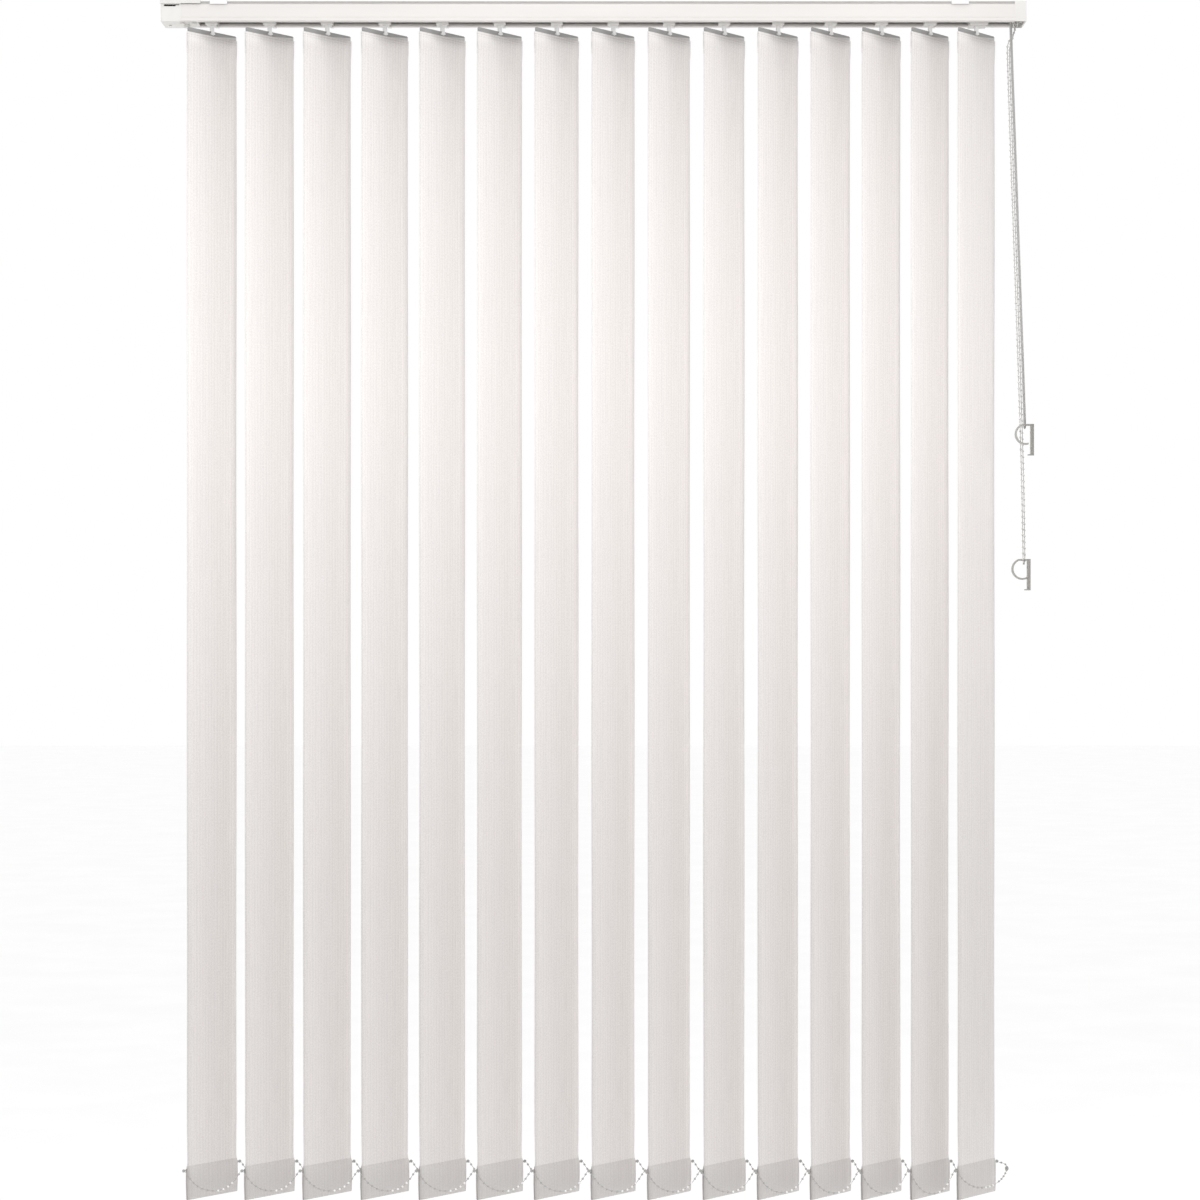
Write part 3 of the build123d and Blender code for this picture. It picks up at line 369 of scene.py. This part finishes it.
node_finishes = {
    "head_rail": RAIL,
    "ceiling_clips": CLIP,
    "idle_end_cap": CAP,
    "control_end_cap": CAP,
    "tilt_rod": METAL,
    "chain_wheel": WHEEL,
    "idle_pulley": WHEEL,
    "front_sheave": WHEEL,
    "rear_sheave": WHEEL,
    "cord_hold_down": HOLD_DOWN,
    "chain_hold_down": HOLD_DOWN,
}
node_finishes |= {f"carrier_{n:02d}": CARRIER for n in SLAT_NUMBERS}
for node_name, node_finish in node_finishes.items():
    nodes[node_name].data.materials.clear()
    nodes[node_name].data.materials.append(node_finish)


# ---------------------------------------------------------------- making pieces
def piece(name, mesh, finishes, body, smooth=True):
    """A finished mesh as an object on a body, with its finishes."""
    if isinstance(mesh, bmesh.types.BMesh):
        built = mesh
        mesh = bpy.data.meshes.new(name)
        built.to_mesh(mesh)
        built.free()
    for finish in finishes:
        mesh.materials.append(finish)
    if smooth:
        mesh.polygons.foreach_set("use_smooth", [True] * len(mesh.polygons))
        mesh.set_sharp_from_angle(angle=radians(38))
    made = bpy.data.objects.new(name, mesh)
    bpy.context.scene.collection.objects.link(made)
    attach(made, body)
    return made


def slat_place(number):
    """The slat's own frame: x along its width, y out of it towards the window, z up."""
    return Matrix.Translation((STEM_X[number - 1], 0, 0)) @ Matrix.Rotation(SLAT_TURN, 4, "Z")


def turned(bm, outline, turn_axis, middle):
    """Spins an outline of points a full turn about an axis into a closed solid."""
    points = [bm.verts.new(point) for point in outline]
    rim = [bm.edges.new(pair) for pair in zip(points, points[1:])]
    before = set(bm.verts) - set(points)
    bmesh.ops.spin(
        bm, geom=points + rim, cent=middle, axis=turn_axis, angle=2 * pi, steps=16, use_merge=True
    )
    made = [vert for vert in bm.verts if vert not in before]
    bmesh.ops.remove_doubles(bm, verts=made, dist=1e-7)
    return [vert for vert in made if vert.is_valid]


# ---------------------------------------------------------------- slats
def ease(value, low, high):
    share = min(max((value - low) / (high - low), 0.0), 1.0)
    return share * share * (3 - 2 * share)


def cloth_path():
    """The cloth's section, (y, z) in the slat's frame: down the front, round the weight, up the back."""
    front = -(PLATE_HALF + 0.1 * MM + CLOTH / 2)
    hem = WEIGHT_THICKNESS / 2 + 0.1 * MM + CLOTH / 2
    closing = 16 * MM
    path = [(front, SLAT_TOP), (front, PLATE_BOTTOM + 2 * MM)]
    for step in range(1, 6):
        path.append((front * (1 - ease(step, 0, 5)), PLATE_BOTTOM + 2 * MM - closing * step / 5))
    rows = 30
    start, stop = PLATE_BOTTOM - 2 * closing, HEM_TOP + 6 * MM
    path += [(0, start + (stop - start) * row / rows) for row in range(rows + 1)]
    path += [(0, HEM_TOP), (-0.7 * hem, HEM_TOP - 2.5 * MM), (-hem, HEM_TOP - 6 * MM)]
    path += [(-hem, SLAT_BOTTOM + 22 * MM), (-hem, SLAT_BOTTOM + hem)]
    for turn in range(1, 6):
        angle = pi * turn / 6
        path.append((-hem * cos(angle), SLAT_BOTTOM + hem - hem * sin(angle)))
    path += [(hem, SLAT_BOTTOM + hem), (hem, SLAT_BOTTOM + 22 * MM), (hem, HEM_TOP - 7 * MM)]
    path += [(CLOTH * 1.1, HEM_TOP - 3 * MM), (CLOTH * 1.05, HEM_TOP)]
    return path


def pocket_path():
    """The strip welded behind the hanger plate."""
    back = PLATE_HALF + 0.1 * MM + CLOTH / 2
    return [
        (back, SLAT_TOP),
        (back, PLATE_BOTTOM + 2 * MM),
        (back * 0.9, PLATE_BOTTOM - 2 * MM),
        (CLOTH * 1.05, PLATE_BOTTOM - 7 * MM),
        (CLOTH * 1.02, PLATE_BOTTOM - 11 * MM),
    ]


def strip(bm, path, columns, uv_layer, uv_offset):
    """Extrudes a path across the slat's width, and lays its length and width out as UVs."""
    line = [bm.verts.new((-SLAT_WIDTH / 2, y, z)) for y, z in path]
    fallen = {0: 0.0}
    for row, (above, below) in enumerate(zip(path, path[1:]), start=1):
        fallen[row] = fallen[row - 1] + sqrt((above[0] - below[0]) ** 2 + (above[1] - below[1]) ** 2)
    edges = [bm.edges.new(pair) for pair in zip(line, line[1:])]
    rows = {vert: row for row, vert in enumerate(line)}
    for _ in range(columns):
        made = bmesh.ops.extrude_edge_only(bm, edges=edges)["geom"]
        new_verts = [item for item in made if isinstance(item, bmesh.types.BMVert)]
        edges = [item for item in made if isinstance(item, bmesh.types.BMEdge)]
        for vert in new_verts:
            source = min(
                (other for edge in vert.link_edges for other in (edge.other_vert(vert),) if other in rows),
                key=lambda other: (other.co - vert.co).length,
            )
            rows[vert] = rows[source]
        bmesh.ops.translate(bm, verts=new_verts, vec=(SLAT_WIDTH / columns, 0, 0))
    for face in bm.faces:
        for loop in face.loops:
            if loop.vert in rows:
                loop[uv_layer].uv = (loop.vert.co.x, fallen[rows[loop.vert]] + uv_offset)


def shape_cloth(bm, number):
    """Cups the cloth a little, lets it waver, and spreads it at the hem."""
    swing = 0.9 * number
    for vert in bm.verts:
        x, _, z = vert.co
        across = 2 * x / SLAT_WIDTH
        free = ease(z, SLAT_TOP, PLATE_BOTTOM - 60 * MM) if z < PLATE_BOTTOM else 0.0
        free *= ease(z, HEM_TOP, HEM_TOP + 80 * MM)
        vert.co.y += free * (0.5 * MM * (across * across - 0.4))
        vert.co.y += free * 0.35 * MM * sin(z * 9.0 + swing) * across
        near_hem = 1 - ease(abs(z - HEM_TOP - 14 * MM), 6 * MM, 34 * MM)
        spread = HEM_SPREAD * (1 - ease(z, HEM_TOP - 4 * MM, HEM_TOP + 6 * MM))
        spread *= ease(z, SLAT_BOTTOM - 2 * MM, SLAT_BOTTOM + 12 * MM)
        vert.co.x += across * (spread - WAIST * near_hem)


def slat(number):
    """One slat: its cloth, and the weight in its hem with a knob at each end."""
    name = f"slat_{number:02d}"
    bm = bmesh.new()
    uv_layer = bm.loops.layers.uv.new("Weave")
    strip(bm, cloth_path(), 8, uv_layer, 0.0)
    strip(bm, pocket_path(), 8, uv_layer, 0.0)
    shape_cloth(bm, number)
    bmesh.ops.transform(bm, matrix=slat_place(number), verts=bm.verts)
    cloth = piece(f"{name}_cloth", bm, [CLOTH_FINISH], name)
    thick = cloth.modifiers.new("cloth_thickness", "SOLIDIFY")
    thick.thickness = CLOTH * 0.9
    thick.offset = 0.0
    weight = bottom_weight(number)
    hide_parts(name)
    return cloth


def bottom_weight(number):
    """A flat plastic weight with rounded corners, and a stud, collar and knob at each end."""
    bm = bmesh.new()
    bmesh.ops.create_cube(bm, size=1.0)
    bmesh.ops.scale(bm, verts=bm.verts, vec=(WEIGHT_WIDTH, WEIGHT_THICKNESS, WEIGHT_HEIGHT))
    corners = [edge for edge in bm.edges if abs(edge.verts[0].co.y - edge.verts[1].co.y) > 1 * MM]
    bmesh.ops.bevel(
        bm, geom=corners, offset=3 * MM, segments=4, profile=0.5, affect="EDGES", material=-1
    )
    bmesh.ops.translate(bm, verts=bm.verts, vec=(0, 0, WEIGHT_BOTTOM + WEIGHT_HEIGHT / 2))
    middle = Vector((0, 0, KNOB_Z))
    for side in (-1, 1):
        turned(bm, [middle + Vector((side * x, 0, r)) for x, r in knob_outline()], (1, 0, 0), middle)
    bmesh.ops.recalc_face_normals(bm, faces=bm.faces)
    bmesh.ops.transform(bm, matrix=slat_place(number), verts=bm.verts)
    return piece(f"slat_{number:02d}_weight", bm, [WEIGHT], f"slat_{number:02d}")


def knob_outline():
    """Half the stud's outline, (distance from the stem, radius): stud, collar, waist and ball."""
    root = WEIGHT_WIDTH / 2 - 3 * MM
    collar = SLAT_WIDTH / 2 + 0.8 * MM
    outline = [(root, 0), (root, STUD_RADIUS), (collar, STUD_RADIUS), (collar, 1.7 * MM)]
    outline += [(collar + 0.9 * MM, 1.7 * MM), (collar + 0.9 * MM, STUD_RADIUS)]
    first = asin(STUD_RADIUS / KNOB_RADIUS)
    for step in range(7):
        angle = first + (pi - first) * step / 6
        outline.append((KNOB_REACH - KNOB_RADIUS * cos(angle), KNOB_RADIUS * sin(angle)))
    outline[-1] = (KNOB_REACH + KNOB_RADIUS, 0)
    return outline


# ---------------------------------------------------------------- hangers
def islands(bm):
    """The separate pieces of a mesh, each as a set of its corners."""
    left, found = set(bm.verts), []
    while left:
        group, reached = set(), [left.pop()]
        while reached:
            vert = reached.pop()
            group.add(vert)
            for edge in vert.link_edges:
                other = edge.other_vert(vert)
                if other in left:
                    left.discard(other)
                    reached.append(other)
        found.append(group)
    return found


def hanger(number):
    """Splits the hanger into its white stem and its frosted plate, with the edges eased."""
    node = f"hanger_{number:02d}"
    whole = bmesh.new()
    whole.from_mesh(nodes[node].data)
    bmesh.ops.remove_doubles(whole, verts=whole.verts, dist=1e-6)
    made = []
    for part, finish, wide in (("stem", STEM, False), ("plate", HANGER, True)):
        bm = whole.copy()
        spare = []
        for island in islands(bm):
            reach = [vert.co.dot(ALONG) for vert in island]
            if (max(reach) - min(reach) > SLAT_WIDTH / 2) != wide:
                spare += island
        bmesh.ops.delete(bm, geom=spare, context="VERTS")
        uv_layer = bm.loops.layers.uv.new("Face")
        into_slat = slat_place(number).inverted()
        for face in bm.faces:
            for loop in face.loops:
                at = into_slat @ loop.vert.co
                loop[uv_layer].uv = (at.x, at.z)
        flat = [edge for edge in bm.edges if edge.is_manifold and edge.calc_face_angle() < radians(1)]
        bmesh.ops.dissolve_edges(bm, edges=flat, use_verts=True)
        shown = piece(f"{node}_{part}", bm, [finish], f"slat_{number:02d}")
        soft = shown.modifiers.new("eased_edges", "BEVEL")
        soft.width = 0.12 * MM
        soft.segments = 2
        soft.limit_method = "ANGLE"
        soft.angle_limit = radians(40)
        made.append(shown)
    whole.free()
    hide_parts(node)
    return made


# ---------------------------------------------------------------- cords and chains
def route_curve(name, points, radius):
    """A curve of one open NURBS spline through a cord's route."""
    curve = bpy.data.curves.new(name, "CURVE")
    curve.dimensions = "3D"
    curve.resolution_u = 10
    curve.bevel_depth = radius
    curve.bevel_resolution = 3
    curve.use_fill_caps = True
    spline = curve.splines.new("NURBS")
    spline.points.add(len(points) - 1)
    for control, point in zip(spline.points, points):
        control.co = (*point, 1.0)
    spline.order_u = 3
    spline.use_endpoint_u = True
    return bpy.data.objects.new(name, curve)


def mesh_of(source):
    """A curve as a mesh, with the curve removed."""
    bpy.context.scene.collection.objects.link(source)
    made = bpy.data.meshes.new_from_object(source.evaluated_get(bpy.context.evaluated_depsgraph_get()))
    bpy.data.objects.remove(source)
    return made


def route_line(points):
    """The route's own line, read from its spline."""
    made = mesh_of(route_curve("route", points, 0.0))
    return [vert.co.copy() for vert in made.vertices]


def line_length(line):
    return sum((after - before).length for before, after in zip(line, line[1:]))


def along_line(line, pitch, first):
    """Points and directions at even distances along a line."""
    found, wanted, walked = [], first, 0.0
    for before, after in zip(line, line[1:]):
        run = (after - before).length
        while run > 0 and wanted <= walked + run:
            found.append((before.lerp(after, (wanted - walked) / run), (after - before).normalized()))
            wanted += pitch
        walked += run
    return found


def ball(radius, finish_number):
    """A small bead with few faces, about its own middle."""
    bm = bmesh.new()
    bmesh.ops.create_uvsphere(bm, u_segments=8, v_segments=6, radius=radius)
    for face in bm.faces:
        face.material_index = finish_number
    mesh = bpy.data.meshes.new("ball")
    bm.to_mesh(mesh)
    bm.free()
    return mesh


def bead_string(name, points, thread, bead, pitch, body, painted_lit=()):
    """A thread along a route with beads at even spaces, as one mesh. The beads whose numbers are in the last
    argument are coloured near white as a painted highlight, and then the others take a darker copy of the plastic
    as painted shade.
    """
    line = route_line(points)
    length = line_length(line)
    count = max(1, round(length / pitch))
    common_ball, painted_lit_ball = ball(bead / 2, 1), ball(bead / 2, 2)
    bm = bmesh.new()
    bm.from_mesh(mesh_of(route_curve(name, points, thread / 2)))
    for number, (place, direction) in enumerate(along_line(line, length / count, length / count / 2)):
        at = Matrix.Translation(place) @ direction.to_track_quat("Z", "Y").to_matrix().to_4x4()
        shape = painted_lit_ball if number in painted_lit else common_ball
        shape.transform(at)
        bm.from_mesh(shape)
        shape.transform(at.inverted())
    for shape in (common_ball, painted_lit_ball):
        bpy.data.meshes.remove(shape)
    # a string with painted highlights takes the darker painted-shade copy for its other beads
    common = PAINTED_SHADED_BEAD if painted_lit else BEAD
    return piece(name, bm, [THREAD, common, PAINTED_LIT_BEAD], body), line


SPAN_SHAPE = ((0.09, 0.42), (0.27, 0.84), (0.5, 1.0), (0.73, 0.86), (0.9, 0.45))
STUD_GAP = KNOB_RADIUS + 0.2 * MM
CHAIN_HANG = 1.6 * MM


def hem_span(left_stud, right_stud):
    """One sagging span of hem chain between two studs at one level."""
    pitch = right_stud.x - left_stud.x
    sag = pitch * sqrt(3 / 8 * (HEM_CHAIN_LENGTH / pitch - 1))
    start = left_stud + Vector((STUD_GAP, 0, -CHAIN_HANG))
    width = pitch - 2 * STUD_GAP
    points = [start]
    points += [start + Vector((width * share, 0, -sag * fall)) for share, fall in SPAN_SHAPE]
    points.append(start + Vector((width, 0, 0)))
    return points


def travel(number):
    """How far a carrier slides when the slats are drawn aside."""
    whole = joints["traverse"]["range_m"][1]
    if number == 1:
        return 0.0
    if number == SLAT_COUNT:
        return whole
    return whole * couplings[f"carrier_{number:02d}_slide"]["ratio"]


def hem_chain(side, body):
    """The spans between neighbouring slats on one side."""
    studs = [Vector((x, 0, KNOB_Z)) + ALONG * (side * KNOB_REACH) for x in STEM_X]
    for number, (left, right) in enumerate(zip(studs, studs[1:]), start=1):
        made, line = bead_string(
            f"{body}_{number:02d}",
            hem_span(left, right),
            HEM_THREAD,
            HEM_BEAD,
            HEM_BEAD_PITCH,
            body,
            HEM_PAINTED_LIT_BEADS,
        )
        gap = right.x - left.x
        keep = (gap - travel(number + 1) + travel(number)) / gap
        anchor = (left.x - travel(number) - keep * left.x) / (1 - keep)
        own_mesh(made)
        if number == 1:
            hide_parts(body)


def end_loop():
    """The chain at the last slat: from its front stud, round its edge, to its back stud."""
    last = Vector((STEM_X[-1], 0, KNOB_Z))
    front_stud = last - ALONG * KNOB_REACH
    back_stud = last + ALONG * KNOB_REACH
    places = [
        front_stud + Vector((STUD_GAP, 0, -CHAIN_HANG)),
        front_stud + Vector((9.0, 0.3, -12.0)) * MM,
        front_stud + Vector((27.0, 5.0, -24.0)) * MM,
        last + Vector((14.0, -20.0, -26.0)) * MM,
        last + Vector((32.0, -2.0, -21.0)) * MM,
        last + Vector((43.0, 15.0, -12.0)) * MM,
        last + Vector((46.5, 29.0, -5.0)) * MM,
        last + Vector((42.0, 37.0, -2.0)) * MM,
        back_stud + Vector((STUD_GAP, 0, -CHAIN_HANG)),
    ]
    made, line = bead_string(
        "hem_end_loop",
        places,
        HEM_THREAD,
        HEM_BEAD,
        HEM_BEAD_PITCH,
        f"slat_{SLAT_COUNT:02d}",
        HEM_PAINTED_LIT_BEADS,
    )
    bm = bmesh.new()
    joint = line[round(0.72 * len(line))]
    bmesh.ops.create_uvsphere(
        bm, u_segments=20, v_segments=12, radius=1.0, matrix=Matrix.Translation(joint)
    )
    bmesh.ops.scale(
        bm, vec=(2.5 * MM, 2.5 * MM, 3.4 * MM), verts=bm.verts, space=Matrix.Translation(-joint)
    )
    connector = piece("hem_chain_connector", bm, [WEIGHT], f"slat_{SLAT_COUNT:02d}")


# the controls' places, from the wheels and clips that carry them
def middle_of(node):
    low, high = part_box(node)
    return (low + high) / 2


SHEAVE_RADIUS = 4.0 * MM
PULLEY_RADIUS = 3.8 * MM
WHEEL_RADIUS = 6 * CONTROL_BEAD_PITCH / (2 * pi)


def under_bar(middle, radius, left_x, right_x):
    """Four corners of a half octagon that passes under a bar, from the room side to the back."""
    hug = 1 / cos(pi / 8)
    corners = []
    for corner in range(4):
        angle = pi + pi / 8 + corner * pi / 4
        y = middle.y + radius * hug * cos(angle)
        z = middle.z + radius * hug * sin(angle)
        corners.append(Vector((left_x + corner * (right_x - left_x) / 3, y, z)))
    return corners


def clip_bar(node):
    """The middle of a hold-down's upper bar, and the inner face of its wall plate."""
    low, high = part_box(node)
    plate_x = high.x - 4.6 * MM
    return Vector((plate_x, (low.y + high.y) / 2, high.z - 1.2 * MM)), plate_x


def traverse_cord():
    """The closed loop of cord, from the leader over the front sheave and back round the idle pulley."""
    front, rear, idle = (middle_of(n) for n in ("front_sheave", "rear_sheave", "idle_pulley"))
    bar, plate_x = clip_bar("cord_hold_down")
    r = SHEAVE_RADIUS
    cord_z = idle.z
    start = Vector((STEM_X[-1], front.y, cord_z))
    loop_radius = sqrt((3 * MM) ** 2 + (1.2 * MM) ** 2) + CORD / 2 + 0.5 * MM
    left_x, right_x = plate_x - 9.3 * MM, plate_x - 6.3 * MM
    points = [
        start,
        Vector((front.x - r, front.y, cord_z)),
        Vector((front.x + r, front.y, cord_z)),
        Vector((front.x + r, front.y, front.z - 18 * MM)),
        Vector((front.x + r + 1.2 * MM, front.y, front.z - 60 * MM)),
        Vector((left_x, bar.y - loop_radius, bar.z + 12 * MM)),
        *under_bar(bar, loop_radius, left_x, right_x),
        Vector((right_x, bar.y + loop_radius, bar.z + 12 * MM)),
        Vector((rear.x + r + 1.2 * MM, rear.y, rear.z - 60 * MM)),
        Vector((rear.x + r, rear.y, rear.z - 18 * MM)),
        Vector((rear.x + r, rear.y, cord_z)),
        Vector((rear.x - r, rear.y, cord_z)),
        Vector((idle.x + PULLEY_RADIUS, rear.y, cord_z)),
        Vector((idle.x - PULLEY_RADIUS, rear.y, cord_z)),
        Vector((idle.x - PULLEY_RADIUS, front.y, cord_z)),
        Vector((idle.x + PULLEY_RADIUS, front.y, cord_z)),
        start,
    ]
    line = route_line(points)
    made = piece("traverse_cord_loop", mesh_of(route_curve("cord", points, CORD / 2)), [BRAID], "rail")
    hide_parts("traverse_cord")


def bead_chain():
    """The closed bead chain, over its wheel and down round its own hold-down."""
    wheel = middle_of("chain_wheel")
    bar, plate_x = clip_bar("chain_hold_down")
    top = Vector((wheel.x, wheel.y, wheel.z + WHEEL_RADIUS))
    front_y, back_y = wheel.y - WHEEL_RADIUS, wheel.y + WHEEL_RADIUS
    loop_radius = sqrt((3 * MM) ** 2 + (1.2 * MM) ** 2) + CONTROL_BEAD / 2 + 0.5 * MM
    near_y, far_y = bar.y - loop_radius, bar.y + loop_radius
    left_x, right_x = plate_x - 6.2 * MM, plate_x - 2.2 * MM

    def beside(x, y, drop):
        return Vector((wheel.x + x * MM, y, wheel.z + drop * MM))

    points = [
        top,
        Vector((wheel.x, front_y, top.z)),
        beside(0, front_y, -8.0),
        beside(-1.8, front_y + 0.2 * MM, -18.0),
        beside(-7.0, front_y + 0.4 * MM, -26.5),
        beside(-11.4, front_y + 0.6 * MM, -35.0),
        beside(-12.4, front_y + 0.8 * MM, -47.0),
        Vector((left_x - 2.8 * MM, near_y, -602 * MM)),
        Vector((left_x, near_y, bar.z + 14 * MM)),
        *under_bar(bar, loop_radius, left_x, right_x),
        Vector((right_x, far_y, bar.z + 14 * MM)),
        Vector((right_x - 2.4 * MM, far_y, -602 * MM)),
        beside(-7.4, back_y - 0.8 * MM, -47.0),
        beside(-6.6, back_y - 0.6 * MM, -36.0),
        beside(-3.4, back_y - 0.4 * MM, -26.5),
        beside(-0.6, back_y - 0.2 * MM, -18.0),
        beside(0, back_y, -8.0),
        Vector((wheel.x, back_y, top.z)),
        top,
    ]
    made, line = bead_string(
        "bead_chain_loop", points, 1.0 * MM, CONTROL_BEAD, CONTROL_BEAD_PITCH, "rail"
    )
    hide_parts("bead_chain")


# ---------------------------------------------------------------- the room
CAMERA_PLACE = (14.5 * MM, -4.0, -880.2 * MM)
FLOOR_Z = -2.4


def camera():
    made = bpy.data.objects.new("camera", bpy.data.cameras.new("camera"))
    bpy.context.scene.collection.objects.link(made)
    made.location = CAMERA_PLACE
    made.rotation_euler = (pi / 2, 0, 0)
    made.data.sensor_width = 36
    made.data.lens = 87.46
    made.data.shift_y = 0.0375
    bpy.context.scene.camera = made


def light(name, place, aim, size, watts, spread=pi):
    made = bpy.data.objects.new(name, bpy.data.lights.new(name, "AREA"))
    bpy.context.scene.collection.objects.link(made)
    made.data.shape = "RECTANGLE"
    made.data.size, made.data.size_y = size
    made.data.energy = watts
    made.data.spread = spread
    made.location = place
    made.rotation_euler = (Vector(aim) - Vector(place)).to_track_quat("-Z", "Y").to_euler()
    made.visible_camera = False


def side_card():
    """A white card beside the last slat, out of the picture, which shades it as a neighbour would."""
    scale = 2.0
    pitch = STEM_X[-1] - STEM_X[-2]
    place = Matrix.Translation((STEM_X[-1] + scale * pitch, 0, (SLAT_TOP + SLAT_BOTTOM) / 2))
    bm = bmesh.new()
    bmesh.ops.create_grid(bm, x_segments=1, y_segments=1, size=0.5)
    bmesh.ops.scale(bm, verts=bm.verts, vec=(scale * SLAT_WIDTH, SLAT_TOP - SLAT_BOTTOM, 1))
    stand = Matrix.Rotation(SLAT_TURN, 4, "Z") @ Matrix.Rotation(pi / 2, 4, "X")
    bmesh.ops.transform(bm, matrix=place @ stand, verts=bm.verts)
    mesh = bpy.data.meshes.new("side_card")
    bm.to_mesh(mesh)
    bm.free()
    mesh.materials.append(moulded("card_paint", 0.74, 0.01, 0.6))
    card = bpy.data.objects.new("side_card", mesh)
    card.visible_camera = False
    bpy.context.scene.collection.objects.link(card)


def studio():
    world = bpy.data.worlds.new("studio")
    bpy.context.scene.world = world
    world.use_nodes = True
    sky = world.node_tree.nodes["Background"]
    sky.inputs["Color"].default_value = (1, 1, 1, 1)
    sky.inputs["Strength"].default_value = 1.0
    bm = bmesh.new()
    bmesh.ops.create_grid(bm, x_segments=1, y_segments=1, size=40.0)
    bmesh.ops.translate(bm, verts=bm.verts, vec=(0, 0, FLOOR_Z))
    mesh = bpy.data.meshes.new("floor")
    bm.to_mesh(mesh)
    bm.free()
    mesh.materials.append(studio_floor())
    floor = bpy.data.objects.new("floor", mesh)
    bpy.context.scene.collection.objects.link(floor)
    side_card()
    light("front_strip", (0.05, -2.2, 0.75), (0.05, 0, -0.5), (2.8, 0.3), 2.45, spread=radians(28))
    light("overhead", (0.05, -0.5, 1.25), (0.05, 0, -0.4), (2.4, 0.5), 8.5)
    light("window_side", (4.5, 1.2, -1.7), (0, 0, -1.3), (2.0, 1.6), 50)
    bpy.context.scene.view_settings.view_transform = "Standard"


camera()
studio()
traverse_cord()
bead_chain()
hem_chain(-1, "front_hem_chain")
hem_chain(1, "back_hem_chain")
end_loop()
for slat_number in SLAT_NUMBERS:
    hanger(slat_number)
    slat(slat_number)
